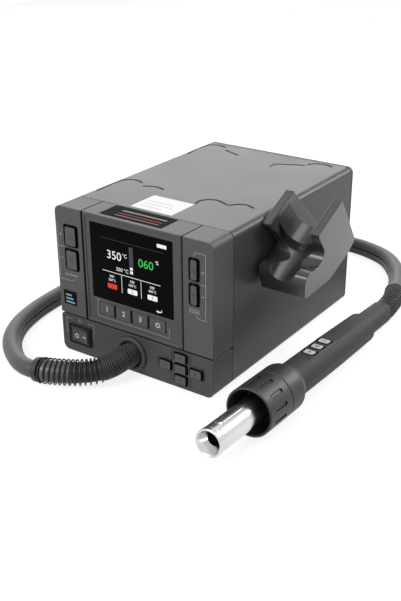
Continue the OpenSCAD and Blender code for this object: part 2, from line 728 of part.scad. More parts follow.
// Inside the case
board_up = 5;
psu_x0 = 7;
psu_x1 = 52;
psu_y0 = 60;
psu_y1 = 190;
psu_posts = [for (x = [psu_x0 + 5, psu_x1 - 5], y = [psu_y0 + 5, psu_y1 - 5]) [x, y]];
main_x0 = 62;
main_x1 = case_w - 14;
main_y0 = case_d - 51;
main_y1 = case_d - 12;
main_posts = [for (x = [main_x0 + 5, main_x1 - 5], y = [main_y0 + 5, main_y1 - 5]) [x, y]];
board_z = floor_z + board_up;

module power_inlet() {
  color(black) in_frame() translate([inlet_x, 0, inlet_z]) difference() {
    union() {
      panel(-25, -inlet_h / 2 - 2.4, 25, inlet_h / 2 + 2.4, case_d, case_d + inlet_proud, 3);
      panel(-inlet_w / 2, -inlet_h / 2, inlet_w / 2, inlet_h / 2, case_d - 24, case_d + eps, 1.8);
    }
    difference() {
      panel(-11.8, -7.6, 11.8, 7.6, case_d - 20, case_d + inlet_proud + 1, 1.5);
      // three contact blades
      for (p = [[-7, -1], [0, 3], [7, -1]])
        block([p[0] - 1, case_d - 21, p[1] - 2.5], [p[0] + 1, case_d - 4, p[1] + 2.5]);
    }
    for (side = [-1, 1]) translate([side * 20, case_d - 1, 0]) rod_y(screw_r + slip, 0, inlet_proud + 2, 24);
    for (side = [-1, 1]) translate([side * 20, 0, 0]) rod_y(3.1, case_d - 0.1, case_d + inlet_proud + 1, 24);
  }
}

module power_supply() {
  color("#caa23c") in_frame() {
    translate([0, 0, board_z]) linear_extrude(board_t)
      translate([psu_x0, psu_y0]) round_rect(psu_x1 - psu_x0, psu_y1 - psu_y0, 2);
    // transformer, storage capacitor, choke and heat sink, drawn for a board 130 mm long
    translate([psu_x0, psu_y0, board_z + board_t - eps]) scale((psu_y1 - psu_y0) / 130) {
      block([8, 52, 0], [38, 84, 26]);
      block([13, 48, 3], [33, 88, 23]);
      translate([28, 26, 0]) cylinder(r = 9, h = 30, $fn = 40);
      translate([12, 106, 0]) cylinder(r = 6, h = 20, $fn = 32);
      for (i = [0:3]) block([28 + i * 4, 96, 0], [29.5 + i * 4, 122, 24]);
      block([27, 96, 0], [41.5, 122, 2]);
      block([4, 6, 0], [14, 40, 12]);
    }
  }
}

module main_board() {
  color(board_green) in_frame() {
    translate([0, 0, board_z]) linear_extrude(board_t)
      translate([main_x0, main_y0]) round_rect(main_x1 - main_x0, main_y1 - main_y0, 2);
    // controller, relay, connectors and capacitors, drawn for a board 74 mm wide
    translate([main_x0, main_y0, board_z + board_t - eps]) scale((main_x1 - main_x0) / 74) {
      block([26, 12, 0], [38, 24, 1.6]);
      block([48, 8, 0], [58, 18, 15]);
      for (i = [0:2]) block([6 + i * 22, 30, 0], [22 + i * 22, 36, 8]);
      for (i = [0:2]) translate([10, 8 + i * 9, 0]) cylinder(r = 3.4, h = 10, $fn = 24);
    }
  }
}

fan_x = gland_x + 24;
fan_y = 118;
fan_z = floor_z;
fan_r = 35;
fan_h = 24;
duct_r = 8.4;
duct_sleeve = 0.8;
duct_wall = 1.4;
hub_r = 9;
motor_r = 13;
shaft_r = 2;

module blower_housing() {
  color(black) in_frame() difference() {
    union() {
      translate([fan_x, fan_y, fan_z]) cylinder(r = fan_r, h = fan_h, $fn = 72);
      translate([gland_x, 0, gland_z]) rod_y(duct_r, fan_y - fan_r - 6, fan_y);
      for (a = [45:90:315]) translate([fan_x + (fan_r + 2) * cos(a), fan_y + (fan_r + 2) * sin(a), fan_z])
        cylinder(r = 3.2, h = fan_h, $fn = 24);
    }
    translate([fan_x, fan_y, fan_z + 2]) cylinder(r = fan_r - 2, h = fan_h, $fn = 72);
    translate([gland_x, 0, gland_z]) rod_y(duct_r - duct_wall, fan_y - fan_r - 7, fan_y - 6);
  }
}
module blower_cover() {
  color(black) in_frame() translate([fan_x, fan_y, fan_z + fan_h]) difference() {
    union() {
      cylinder(r = fan_r, h = 2, $fn = 72);
      // three arms that hold the motor over the inlet
      for (a = [30:120:270]) rotate([0, 0, a]) block([motor_r - 1, -2.5, 0], [24, 2.5, 5.6]);
      difference() {
        translate([0, 0, 3.6]) cylinder(r = motor_r + 2, h = 2, $fn = 48);
        translate([0, 0, 3]) cylinder(r = 5, h = 4, $fn = 32);
      }
    }
    difference() {
      translate([0, 0, -1]) cylinder(r = 18, h = 4.2, $fn = 48);
      for (a = [30:120:270]) rotate([0, 0, a]) block([motor_r - 1, -2.5, -2], [24, 2.5, 5.6]);
    }
    translate([0, 0, -1]) cylinder(r = 5, h = 9, $fn = 32);
  }
}
module blower_motor() {
  color(steel) in_frame() translate([fan_x, fan_y, fan_z + fan_h + 5.6]) difference() {
    union() {
      cylinder(r = motor_r, h = 16, $fn = 48);
      translate([0, 0, 16 - eps]) cylinder(r = 5, h = 2, $fn = 32);
    }
    translate([0, 0, -1]) cylinder(r = shaft_r + run, h = 14, $fn = 32);
  }
}
module blower_impeller() {
  blades = 9;
  tip_r = fan_r - 4;
  color("#e8e6df") in_frame() translate([fan_x, fan_y, fan_z + 3]) {
    cylinder(r = tip_r, h = 1.6, $fn = 72);
    cylinder(r = hub_r, h = 17, $fn = 48);
    cylinder(r = shaft_r, h = fan_h + 13, $fn = 32);
    for (i = [0:blades - 1]) rotate([0, 0, i * 360 / blades])
      translate([0, 0, 1.5]) linear_extrude(14.5) polygon(concat(
        arc(0, 24, 24, -70, -15, 6), arc(0, 24, 25.4, -15, -70, 6)));
  }
}
module air_duct() {
  color(black) in_frame() translate([gland_x, 0, gland_z]) difference() {
    rod_y(duct_r + duct_sleeve, front_t + 4.6, fan_y - fan_r - 0.5);
    rod_y(duct_r + slip, fan_y - fan_r - 6, fan_y - fan_r, 48);
    rod_y(duct_r - duct_wall, front_t + 4, fan_y - fan_r);
  }
}

module hose_gland() {
  lip = 2.4;
  air_r = duct_r - duct_wall;
  color(charcoal) in_frame() translate([gland_x, 0, gland_z]) turned(concat(
    [[air_r, front_t + 4.6], [air_r, gland_step], [gland_hole, gland_step], [gland_hole, -lip + 1.1]],
    arc(gland_hole + 1.1, -lip + 1.1, 1.1, 180, 270, 4),
    arc(gland_r - 1.6, -lip + 1.6, 1.6, 270, 360, 4),
    [[gland_r, 0], [gland_r - 2.5, 0], [gland_r - 2.5, front_t], [gland_r - 1.4, front_t],
     [gland_r - 1.4, front_t + 1.8], [duct_r + duct_sleeve, front_t + 2.2],
     [duct_r + duct_sleeve, front_t + 4.6]]
  ));
}
gland_hole = 10.8;
gland_step = 1.4;

// Hose and its sleeves
function widths(n, base, ribs) = [for (i = [0:n - 1]) base - (i % 2) * ribs];
module route_tube(route, steps, half_w, half_h, ribs = 0, sides = 10) {
  line = curve(route, steps);
  n = len(line);
  in_frame() translate([0, 0, -foot_h]) swept(line, widths(n, half_w, ribs), widths(n, half_h, ribs), sides);
}
module hose_spring() { color(black) route_tube(sleeve_route, 7, 10, 10, 1.2, 12); }
module hose_collar() {
  last = sleeve_route[len(sleeve_route) - 1];
  color(black) route_tube([last, [16, -52.3, 10.1], hose_route[0]], 3, 9.8, 9.7, 0, 12);
}
module hose() { color(black) route_tube(hose_route, 3, hose_w / 2, hose_h / 2); }
module tail_spring() { color(black) route_tube(tail_route, 6, 9, 8.6, 1, 12); }

// Handpiece
module cup_slot(a) {
  slot_w = 3;
  rotate([0, a, 0]) translate([cup_r - 0.8, 0, 0]) {
    block([0, 7 + slot_w / 2, -slot_w / 2], [3, 22 - slot_w / 2, slot_w / 2]);
    for (y = [7 + slot_w / 2, 22 - slot_w / 2]) translate([0, y, 0]) rotate([0, 90, 0])
      cylinder(r = slot_w / 2, h = 3, $fn = 20);
  }
}
module guard_cup() {
  color(charcoal) on_hand() difference() {
    turned(concat(
      [[nozzle_r + 1.2, cup_len], [nozzle_r + 1.2, cup_len - 4], [cup_r - cup_wall, cup_len - 4],
       [cup_r - cup_wall, 0.6], [cup_r - cup_wall + 0.6, 0]],
      [[cup_r - 0.6, 0], [cup_r, 0.6], [cup_r, cup_len - 0.5], [cup_r - 0.5, cup_len]]), 72);
    for (i = [0:11]) cup_slot(15 + i * 30);
  }
}
module guard_collar() {
  color(charcoal) on_hand() turned(concat(
    [[grip_r + slip, grip_y], [grip_r + slip, collar_y + 8], [nozzle_r + 1.2, collar_y + 8],
     [nozzle_r + 1.2, cup_len], [cup_r - 1.5, cup_len], [cup_r - 1.5, collar_y],
     [cup_r - 0.5, collar_y], [cup_r, collar_y + 0.5]],
    arc(cup_r - 4, grip_y - 9, 4, 0, 60, 5),
    [[grip_r + 1, grip_y]]), 72);
}

// Outer and inner form of the grip
module grip_form(inset) {
  round_end = 2.7;
  turned(concat(
    [[0, collar_y + 8 + inset], [grip_r - inset, collar_y + 8 + inset], [grip_r - inset, panel_y1]],
    arc(grip_rear_r - inset - round_end, grip_end - inset - round_end, round_end, 0, 90, 6),
    [[0, grip_end - inset]]), 64);
}
module grip_shell() {
  difference() {
    grip_form(0);
    intersection() {
      grip_form(2);
      block([-30, 0, -30], [30, grip_end, facet_z - 2]);
    }
    rod_y(cuff_r - 1, grip_end - 20, grip_end + 1);
    rod_y(barrel_r + run, 0, collar_y + 20, 64);
  }
}
module grip_lower() {
  color(charcoal) on_hand() {
    intersection() {
      grip_shell();
      block([-30, 0, -30], [30, grip_end + 5, 0]);
    }
    // posts under the board
    intersection() {
      grip_form(1);
      for (x = [-7, 5], y = [panel_y0 + 6, panel_y1 + 20])
        block([x, y, -20], [x + 2, y + 3, grip_board_z]);
    }
  }
}
grip_board_z = facet_z - 8.2;
module grip_upper() {
  panel_w = 13.6;
  color(charcoal) on_hand() difference() {
    union() {
      intersection() {
        grip_shell();
        block([-30, 0, 0], [30, grip_end + 5, 30]);
        union() {
          block([-30, 0, 0], [30, panel_y0, 30]);
          block([-30, panel_y0 - 1, 0], [30, grip_end + 5, facet_z]);
        }
      }
      // raised button panel on its flat
      translate([-panel_w / 2, panel_y0, facet_z - 1.6]) linear_extrude(2.4)
        round_rect(panel_w, panel_y1 - panel_y0, 2.5);
    }
    for (i = [0:button_count - 1])
      block([-button_w / 2 - fit, button_y + i * button_pitch - button_l / 2 - fit, facet_z - 6],
            [button_w / 2 + fit, button_y + i * button_pitch + button_l / 2 + fit, grip_r + 5]);
  }
}
button_top = facet_z + 1.3;
module grip_button(i) {
  y = button_y + i * button_pitch;
  color("#b9bbbd") on_hand() union() {
    translate([-button_w / 2, y - button_l / 2, facet_z - 2.6]) linear_extrude(button_top - facet_z + 2.6)
      round_rect(button_w, button_l, 1);
    block([-button_w / 2 - 1.2, y - button_l / 2 - 1.2, facet_z - 3.4],
          [button_w / 2 + 1.2, y + button_l / 2 + 1.2, facet_z - 2 - fit]);
  }
}
module grip_button_1() { grip_button(0); }
module grip_button_2() { grip_button(1); }
module grip_button_3() { grip_button(2); }
module grip_board() {
  top_z = grip_board_z + 1.2;
  color(board_green) on_hand() {
    block([-9.2, panel_y0 + 2, top_z - 1.2], [9.2, panel_y1 + 30, top_z]);
    for (i = [0:button_count - 1]) {
      y = button_y + i * button_pitch;
      block([-3, y - 3, top_z - eps], [3, y + 3, facet_z - 3.4 - key_travel - fit]);
    }
  }
}
module tail_cuff() {
  color(charcoal) on_hand() turned([
    [cuff_r - 3, grip_end - 14], [cuff_r - 1 - slip, grip_end - 14], [cuff_r - 1 - slip, grip_end],
    [cuff_r, grip_end], [cuff_rear_r, cuff_end - 0.6], [cuff_rear_r - 0.6, cuff_end],
    [cuff_r - 3, cuff_end]
  ], 56);
}

// Heater
heater_y1 = collar_y + 40;
module heater_barrel() {
  color(steel) on_hand() {
    turned([
      [barrel_r - barrel_wall, -nozzle_out + 8.5], [barrel_r, -nozzle_out + 8.5],
      [barrel_r, heater_y1], [barrel_r - barrel_wall, heater_y1]
    ], 64);
    // pin that locks the nozzle
    rotate([0, -90 - nozzle_pin_angle, 0]) translate([barrel_r - barrel_wall / 2, pin_y, 0]) rotate([0, 90, 0])
      cylinder(r = lock_pin_r, h = nozzle_wall + run + 0.25, $fn = 20);
  }
}
nozzle_pin_angle = 5;
module nozzle() {
  bore = nozzle_r - nozzle_wall;
  y0 = -nozzle_out;
  back = cup_len - 8;
  color(steel) on_hand() difference() {
    turned(concat(
      [[bore, back], [bore, y0 + 8.2], [5.6, y0 + 7.6], [5.2, y0 + 7], [bore - 0.9, y0 + 0.4], [bore - 0.4, y0]],
      arc(nozzle_r - 0.35, y0 + tip_round, tip_round, -90, 0, 4),
      [[nozzle_r + 0.35, y0 + 3], [nozzle_r - 0.1, y0 + 3.4], [nozzle_r - 0.1, y0 + 4.2],
       [nozzle_r, y0 + 4.6], [nozzle_r, back]]), 64);
    // bayonet slot: a long leg open at the back and a short leg round the tube
    rotate([0, -(90 + nozzle_pin_angle - nozzle_twist), 0])
      block([barrel_r - 1, pin_y, -slot_half], [nozzle_r + 2, back + 1, slot_half]);
    rotate([-90, -(90 + nozzle_pin_angle + slot_spare), 0])
      rotate_extrude(angle = nozzle_twist + 2 * slot_spare + 0.8, $fn = 64)
      translate([barrel_r - 2, pin_y - slot_half]) square([nozzle_r - barrel_r + 5, 2 * slot_half]);
  }
}
slot_spare = asin(slot_half / nozzle_r);
core_half = 7;
module heater_core() {
  color("#e6e0d2") on_hand() {
    for (a = [0, 90]) rotate([0, a, 0]) block([-core_half, -4, -0.9], [core_half, 44, 0.9]);
    turned([[0, 42], [barrel_r - barrel_wall - run, 42], [barrel_r - barrel_wall - run, 46], [0, 46]], 64);
  }
}
module heater_coil() {
  color(copper) on_hand() turned(concat(
    [[norm([core_half, 0.9]) + run, 0], [norm([core_half, 0.9]) + run, 38]],
    [for (i = [20:-1:0]) [i % 2 == 0 ? 7.8 : 8.6, i * 1.9]]), 32);
}
module thermocouple() {
  color(steel) on_hand() rod_y(0.6, -10, -4, 16);
}

// Cradle

// Its outlines are drawn for a width of 48 mm, as Y and Z from the case's corner, and scaled with the
// width about the rear end of its top edges
cradle_unit = cradle_w / 48;
function on_cradle(outline) =
  [for (p = outline) [cradle_top_y, cradle_top_z] + cradle_unit * (p - [99.5, 138.4])];
// Side outline of the cradle
cradle_profile = on_cradle(concat(
  [[65, 121.8], [99.5, 138.4], [123, 114], [142.6, 92.8], [141.5, 90],
   [134, 84], [104.5, 71.6], [61, 71.6], [58, 73.2]],
  curve([[55.4, 81], [54.6, 87.4], [57, 91.8], [62.4, 93.4], [69, 92.8], [75, 93.6], [79.6, 96.6],
         [81.6, 101], [80, 105.4]], 4),
  [[66, 119.6]]
));
// Hollow under the seats, open at the bottom
cradle_hollow = on_cradle([[62.5, 70], [62.5, 80], [80, 88.4], [89, 92.5], [101, 105.6], [114.7, 79.1],
                           [112, 70]]);
// Side outline of its pad, and the two screws that hold both to the case
cradle_pad_side = on_cradle([[74, 75], [72, 89], [84, 100], [112, 104], [126, 94], [125, 84], [104, 75]]);
cradle_screw_at = on_cradle([[84, 84], [112, 84]]);
// Frame of the trough: origin at the rear end of the top edges, Y down the slope to the front
module cradle_frame() {
  translate([cradle_x, cradle_top_y, cradle_top_z]) rotate([cradle_tilt, 0, 0]) children();
}
// Cheeks that draw together towards the bottom
module cradle_taper() {
  half = cradle_w / 2;
  up = 10 * cradle_unit;
  down = 70 * cradle_unit;
  cradle_frame() translate([0, 80 * cradle_unit, 0]) rotate([90, 0, 0]) linear_extrude(180 * cradle_unit)
    polygon([[-half - up * cradle_lean, up], [half + up * cradle_lean, up],
             [half - down * cradle_lean, -down], [-half + down * cradle_lean, -down]]);
}
module cradle() {
  half = cradle_w / 2;
  inner = half - cradle_wall;
  u = cradle_unit;
  color(charcoal) in_frame() difference() {
    intersection() {
      translate([cradle_x - half, 0, 0]) rotate([90, 0, 90]) linear_extrude(cradle_w) polygon(cradle_profile);
      cradle_taper();
    }
    cradle_frame() {
      // rear seat for the grip
      hull() {
        translate([0, 0, -11 * u]) rod_y(14 * u, -40 * u, 30 * u, 96);
        block([-inner, -40 * u, -4 * u], [inner, 30 * u, 20 * u]);
      }
      // deeper front seat that narrows towards the lip
      hull() for (up = [0, 40 * u]) translate([0, 0, up]) {
        translate([0, -28 * u, -14.8 * u]) rod_y(16.4 * u, 0, 0.1, 96);
        translate([0, -72 * u, -19 * u]) rod_y(10.6 * u, 0, 0.1, 96);
      }
      // open space between the cheeks behind the seats
      translate([0, 60 * u, 0]) rotate([90, 0, 0]) linear_extrude(69 * u)
        polygon([[-inner, 20 * u], [inner, 20 * u], [inner, -8 * u], [12 * u, -60 * u], [12 * u, -90 * u],
                 [-12 * u, -90 * u], [-12 * u, -60 * u], [-inner, -8 * u]]);
      for (side = [-1, 1], k = [0, 1]) translate([side * (half - 2.2 - 2 * k), 0, 0])
        rotate([0, 45, 0]) block([-0.45, -70 * u, -0.45], [0.45, 30 * u, 0.45]);
    }
    translate([cradle_x - 12.6 * u, 0, 0]) rotate([90, 0, 90]) linear_extrude(25.2 * u)
      polygon(cradle_hollow);
    for (p = cradle_screw_at) translate([cradle_x - half - 1, p[0], p[1]]) rotate([0, 90, 0])
      cylinder(r = screw_r + slip, h = 18, $fn = 24);
  }
}
module cradle_pad() {
  color(charcoal) in_frame() difference() {
    translate([case_w, 0, 0]) rotate([90, 0, 90]) linear_extrude(14)
      polygon(cradle_pad_side);
    cradle_taper();
    for (p = cradle_screw_at) translate([case_w - 1, p[0], p[1]]) rotate([0, 90, 0])
      cylinder(r = screw_r + slip, h = 18, $fn = 24);
  }
}
module cradle_screws() {
  color(steel) in_frame() for (p = cradle_screw_at)
    translate([case_w - wall, p[0], p[1]]) rotate([0, 90, 0]) {
      translate([0, 0, -screw_head]) cylinder(r = 2.9, h = screw_head, $fn = 32);
      translate([0, 0, -eps]) cylinder(r = screw_r, h = 18, $fn = 24);
    }
}

case_shell();
base_tray();
rear_panel();
front_frame();
display_pod();
lower_panel();
screen_window();
lcd_module();
display_board();
pad_board();
switch_frame();
power_rocker();
temp_key_up();
temp_key_down();
air_key_up();
air_key_down();
channel_key_1();
channel_key_2();
channel_key_3();
cycle_key();
pad_key_up();
pad_key_left();
pad_key_centre();
pad_key_right();
pad_key_down();
power_inlet();
power_supply();
main_board();
blower_housing();
blower_cover();
blower_motor();
blower_impeller();
air_duct();
hose_gland();
hose_spring();
hose_collar();
hose();
tail_spring();
grip_lower();
grip_upper();
grip_board();
grip_button_1();
grip_button_2();
grip_button_3();
guard_cup();
guard_collar();
heater_barrel();
heater_core();
heater_coil();
thermocouple();
nozzle();
tail_cuff();
cradle();
cradle_pad();
cradle_screws();
case_screws();
feet();
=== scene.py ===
# %% [markdown]
# # A hot air rework station, dressed for the camera
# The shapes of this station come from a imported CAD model: case, front mouldings, keys, cradle and
# handpiece. This lesson adds what CAD leaves out: the finish of every surface, the print on the panels,
# the lit display, and the hose with its springs. Everything is in metres in the CAD model's own frame.

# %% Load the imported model
import json
import math

import bmesh
import bpy
from mathutils import Matrix, Vector
from mathutils.bvhtree import BVHTree


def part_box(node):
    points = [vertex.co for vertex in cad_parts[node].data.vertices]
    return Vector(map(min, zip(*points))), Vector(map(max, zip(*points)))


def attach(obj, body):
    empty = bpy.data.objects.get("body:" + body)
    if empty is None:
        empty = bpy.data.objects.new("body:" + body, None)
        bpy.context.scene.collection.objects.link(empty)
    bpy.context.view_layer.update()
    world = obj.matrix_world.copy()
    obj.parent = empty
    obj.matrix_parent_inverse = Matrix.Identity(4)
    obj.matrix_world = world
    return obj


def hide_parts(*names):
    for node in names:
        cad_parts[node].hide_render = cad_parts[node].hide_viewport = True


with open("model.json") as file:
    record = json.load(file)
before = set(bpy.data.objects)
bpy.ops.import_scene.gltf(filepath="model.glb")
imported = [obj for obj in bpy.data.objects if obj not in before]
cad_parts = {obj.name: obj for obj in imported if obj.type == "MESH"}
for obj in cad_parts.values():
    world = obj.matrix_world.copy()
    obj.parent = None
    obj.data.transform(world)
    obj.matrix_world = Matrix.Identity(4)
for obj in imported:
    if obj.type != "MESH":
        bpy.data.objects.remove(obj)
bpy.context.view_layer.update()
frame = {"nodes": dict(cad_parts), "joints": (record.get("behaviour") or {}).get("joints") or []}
nodes = frame["nodes"]

# %% [markdown]
# ## Places
# Places are written in millimetres, as on a maker's drawing: from the case's lower left front corner, with
# X to the right, Y to the back and Z up. The handpiece has an axis of its own, which leans a little, because
# it rests on its cup and on its grip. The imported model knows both: the corner is that of the lower panel,
# and the axis is the one that the nozzle turns about. Small functions turn millimetres into the frame.

# %% Millimetres of the case, of the bench and of the handpiece
MM = 0.001
ACROSS = Vector((1, 0, 0))
UP = Vector((0, 0, 1))
CASE_CORNER = Vector(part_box("lower_panel")[0])
NOZZLE_TURN = next(joint for joint in frame["joints"] if joint["name"] == "nozzle_twist")
HAND_BACK = -Vector(NOZZLE_TURN["axis"]).normalized()
HAND_UP = ACROSS.cross(HAND_BACK)
# From the point that the nozzle's joint is given at, back to the mouth of the cup
SEAT_TO_MOUTH = 20.0
CUP_MOUTH = Vector(NOZZLE_TURN["pos_m"]) + HAND_BACK * SEAT_TO_MOUTH * MM
# From the mouth of the cup to the end of the tail cuff
HAND_LENGTH = 217.4


def at_case(x, y, z):
    """A point in millimetres from the case's lower left front corner, as metres in the frame."""
    return CASE_CORNER + Vector((x, y, z)) * MM


def at_bench(x, y, z):
    """The same, but with z above the bench that the feet stand on."""
    return Vector((CASE_CORNER.x + x * MM, CASE_CORNER.y + y * MM, z * MM))


def at_hand(x, along, up):
    """A point beside, along and above the handpiece's axis, from the mouth of its cup."""
    return CUP_MOUTH + (ACROSS * x + HAND_BACK * along + HAND_UP * up) * MM


def middle_of(name):
    """Middle of a CAD node's box, in millimetres from the case's corner."""
    low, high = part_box(name)
    return ((Vector(low) + Vector(high)) / 2 - CASE_CORNER) / MM


print("tail end of the handpiece:", [round(value, 4) for value in at_hand(0, HAND_LENGTH, 0)])

# %% [markdown]
# ## Camera
# The station was photographed from its right front, from above. The camera's place, angles and focal length
# were worked out from the case's edges, so the render and the photograph can be laid over each other. It
# comes first, with the hose, because what it sees decides how far the hose may reach.

# %% Camera
EYE = (495.323, -510.567, 372.606)
AZIMUTH = math.radians(34.9255092)
ELEVATION = math.radians(25.1978494)
ROLL = math.radians(-0.3165863)
FOCAL_LENGTH = 56.84
SENSOR = 36.0

scene = bpy.context.scene
camera = bpy.data.objects.new("camera", bpy.data.cameras.new("camera"))
scene.collection.objects.link(camera)
aim = (Matrix.Rotation(AZIMUTH, 4, "Z") @ Matrix.Rotation(math.pi / 2 - ELEVATION, 4, "X")
       @ Matrix.Rotation(ROLL, 4, "Z"))
camera.matrix_world = Matrix.Translation(at_case(*EYE)) @ aim
camera.data.lens = FOCAL_LENGTH
camera.data.sensor_width = SENSOR
camera.data.clip_start = 0.01
camera.data.clip_end = 20.0
scene.camera = camera
print("camera at", [round(value, 3) for value in camera.location])

# %% [markdown]
# ## Lines that run through space
# The hose and its springs are each one shape of section carried along a line. The line is a smooth curve
# that passes through each given point, so points measured from the photograph stay where they were
# measured. The section is carried level, with one side always to the right of the line, so the hose's
# small lobe stays on the inner side of its loop as it does on the real one.

# %% Smooth line
TINY = 1e-9


def smooth_line(points, steps):
    """Points of a smooth curve through the given points, with so many steps between two of them."""
    line = []
    for i in range(len(points) - 1):
        a, b, c, d = (points[min(max(k, 0), len(points) - 1)] for k in (i - 1, i, i + 1, i + 2))
        for k in range(steps):
            t = k / steps
            line.append(0.5 * (2 * b + (c - a) * t + (2 * a - 5 * b + 4 * c - d) * t * t
                               + (3 * b - a - 3 * c + d) * t * t * t))
    return line + [points[-1].copy()]


def line_length(line):
    """Length along a line of points."""
    return sum((b - a).length for a, b in zip(line, line[1:]))


def stations(line):
    """For each point of a line: the point, its right and its up direction, and the length so far."""
    found = []
    gone = 0.0
    for i, point in enumerate(line):
        ahead = (line[min(i + 1, len(line) - 1)] - line[max(i - 1, 0)]).normalized()
        right = ahead.cross(UP).normalized()
        if i:
            gone += (point - line[i - 1]).length
        found.append((point, right, right.cross(ahead), gone))
    return found


def even_line(line, spacing):
    """The same line with points at even distances."""
    total = line_length(line)
    count = max(2, round(total / spacing))
    gone = [0.0]
    for a, b in zip(line, line[1:]):
        gone.append(gone[-1] + (b - a).length)
    marks = []
    k = 0
    for i in range(count + 1):
        want = total * i / count
        while k < len(line) - 2 and gone[k + 1] < want:
            k += 1
        share = (want - gone[k]) / max(gone[k + 1] - gone[k], TINY)
        marks.append(line[k].lerp(line[k + 1], min(share, 1.0)))
    return marks


def part_of(line, start_mm, end_mm=math.inf):
    """The stretch of a line between two lengths along it, in millimetres."""
    return [point for point, right, up, gone in stations(line) if start_mm * MM <= gone <= end_mm * MM]


# %% New pieces and swept sections
def new_piece(name, points, faces, material, body="root", smooth=True):
    """Makes a mesh object that rides on a body of the CAD model."""
    mesh = bpy.data.meshes.new(name)
    mesh.from_pydata([tuple(point) for point in points], [], faces)
    mesh.validate()
    mesh.polygons.foreach_set("use_smooth", [smooth] * len(mesh.polygons))
    mesh.materials.append(material)
    piece = bpy.data.objects.new(name, mesh)
    scene.collection.objects.link(piece)
    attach(piece, body)
    return piece


def swept(name, line, section, material, creases=()):
    """Carries a closed section along a line. section(gone) gives its points as (right, up) in metres.

    Creases are the numbers of the section's points where its surface has a sharp line along it."""
    points = []
    lengths = []
    for middle, right, up, gone in stations(line):
        points += [middle + right * across + up * high for across, high in section(gone)]
        lengths.append(gone)
    sides = len(points) // len(lengths)
    faces = []
    for i in range(len(lengths) - 1):
        for k in range(sides):
            a = i * sides + k
            b = i * sides + (k + 1) % sides
            faces.append((a, b, b + sides, a + sides))
    last = (len(lengths) - 1) * sides
    faces.append(tuple(reversed(range(sides))))
    faces.append(tuple(range(last, last + sides)))
    piece = new_piece(name, points, faces, material)
    for edge in piece.data.edges:
        first, second = edge.vertices
        edge.use_edge_sharp = abs(second - first) == sides and first % sides in creases
    wrap = piece.data.uv_layers.new(name="wrap")
    for face in piece.data.polygons[:-2]:
        for place in face.loop_indices:
            ring, side = divmod(piece.data.loops[place].vertex_index, sides)
            if side == 0 and face.index % sides == sides - 1:
                side = sides
            wrap.data[place].uv = (side / sides, lengths[ring])
    return piece


def round_points(x, y, radius, sides):
    """Points of a circle."""
    return [(x + radius * math.cos(math.tau * k / sides), y + radius * math.sin(math.tau * k / sides))
            for k in range(sides)]


# %% [markdown]
# ## Materials
# Every finish below starts from the real material: what it is made of, how its surface was made, and what
# that gives the eye. Colours are written as sRGB hex values, as a colour picker shows them, and one
# function turns them to the linear values that the renderer works with. No surface has quite one colour,
# so most finishes go between two shades of it. One more function adds a node to a material with its
# settings and links.

# %% Colour and node helpers
def linear(code):
    """Linear colour of an sRGB hex value."""
    parts = [int(code[i:i + 2], 16) / 255 for i in (1, 3, 5)]
    return tuple(c / 12.92 if c <= 0.04045 else ((c + 0.055) / 1.055) ** 2.4 for c in parts) + (1.0,)


def shades(colour, dark, light):
    """A darker and a lighter shade of a colour, each as a share of it."""
    base = Vector(linear(colour)[:3])
    return (*(base * dark), 1.0), (*(base * light), 1.0)


def add_node(tree, kind, feeds=None, **settings):
    """Adds one node: settings are its own, feeds are values or outputs for its inputs."""
    node = tree.nodes.new("ShaderNode" + kind)
    for name, value in settings.items():
        setattr(node, name, value)
    for socket, value in (feeds or {}).items():
        if isinstance(value, bpy.types.NodeSocket):
            tree.links.new(value, node.inputs[socket])
        else:
            node.inputs[socket].default_value = value
    return node


def new_material(name):
    """An empty material with its Principled shader."""
    material = bpy.data.materials.new(name)
    material.use_nodes = True
    return material, material.node_tree, material.node_tree.nodes["Principled BSDF"]


# %% [markdown]
# ## Moulded plastic
# Almost all of the station is moulded plastic. The mould was etched, so the surface has a fine grain, which
# breaks the reflection up and gives a soft sheen in place of a mirror. The real grain is 0.2 to 0.5 mm wide;
# most of it is drawn 0.8 to 1 mm wide here, or it would vanish in the picture. The colour is nearly even,
# with faint flow marks some centimetres wide. Hands and benches polish the edges, which catch the light as a
# thin brighter line. The Bevel node finds those edges and rounds them for the light only: its normal is
# compared with the true one, and where they differ the surface is smoother and lighter in colour, partly
# as polish and partly as a painted highlight. The narrow gaps and grooves get painted shade: an ambient
# occlusion node finds them and darkens the colour there.

# %% Moulded plastic
FLOW_SIZE = 45 * MM
NOOK_REACH = 2.2 * MM
# How like the rounded normal is to the true one: where the polish and its painted highlight start, and where
# they are full
POLISH_AND_HIGHLIGHT_STARTS = 0.995
POLISH_AND_HIGHLIGHT_FULL = 0.75
# The same for the rim of a key, where the paint stops and black painted shade begins
PAINT_ENDS_SHADE_STARTS = 0.99
PAINT_GONE_SHADE_FULL = 0.9
# An edge is so many times as bright, and a shade brighter on top of that: partly polish, partly a painted
# highlight
WORN_AND_HIGHLIGHT_SHARE = 1.9
WORN_AND_HIGHLIGHT_EXTRA = 0.02
# The paint of a key reaches so far back from the panel's front; what lies deeper is black, as painted shade
# in the recess
SKIRT_SHADE_FROM = at_case(0, 0.9, 0).y
# A face points to the front when its normal's Y is below this
FACES_FRONT = -0.5


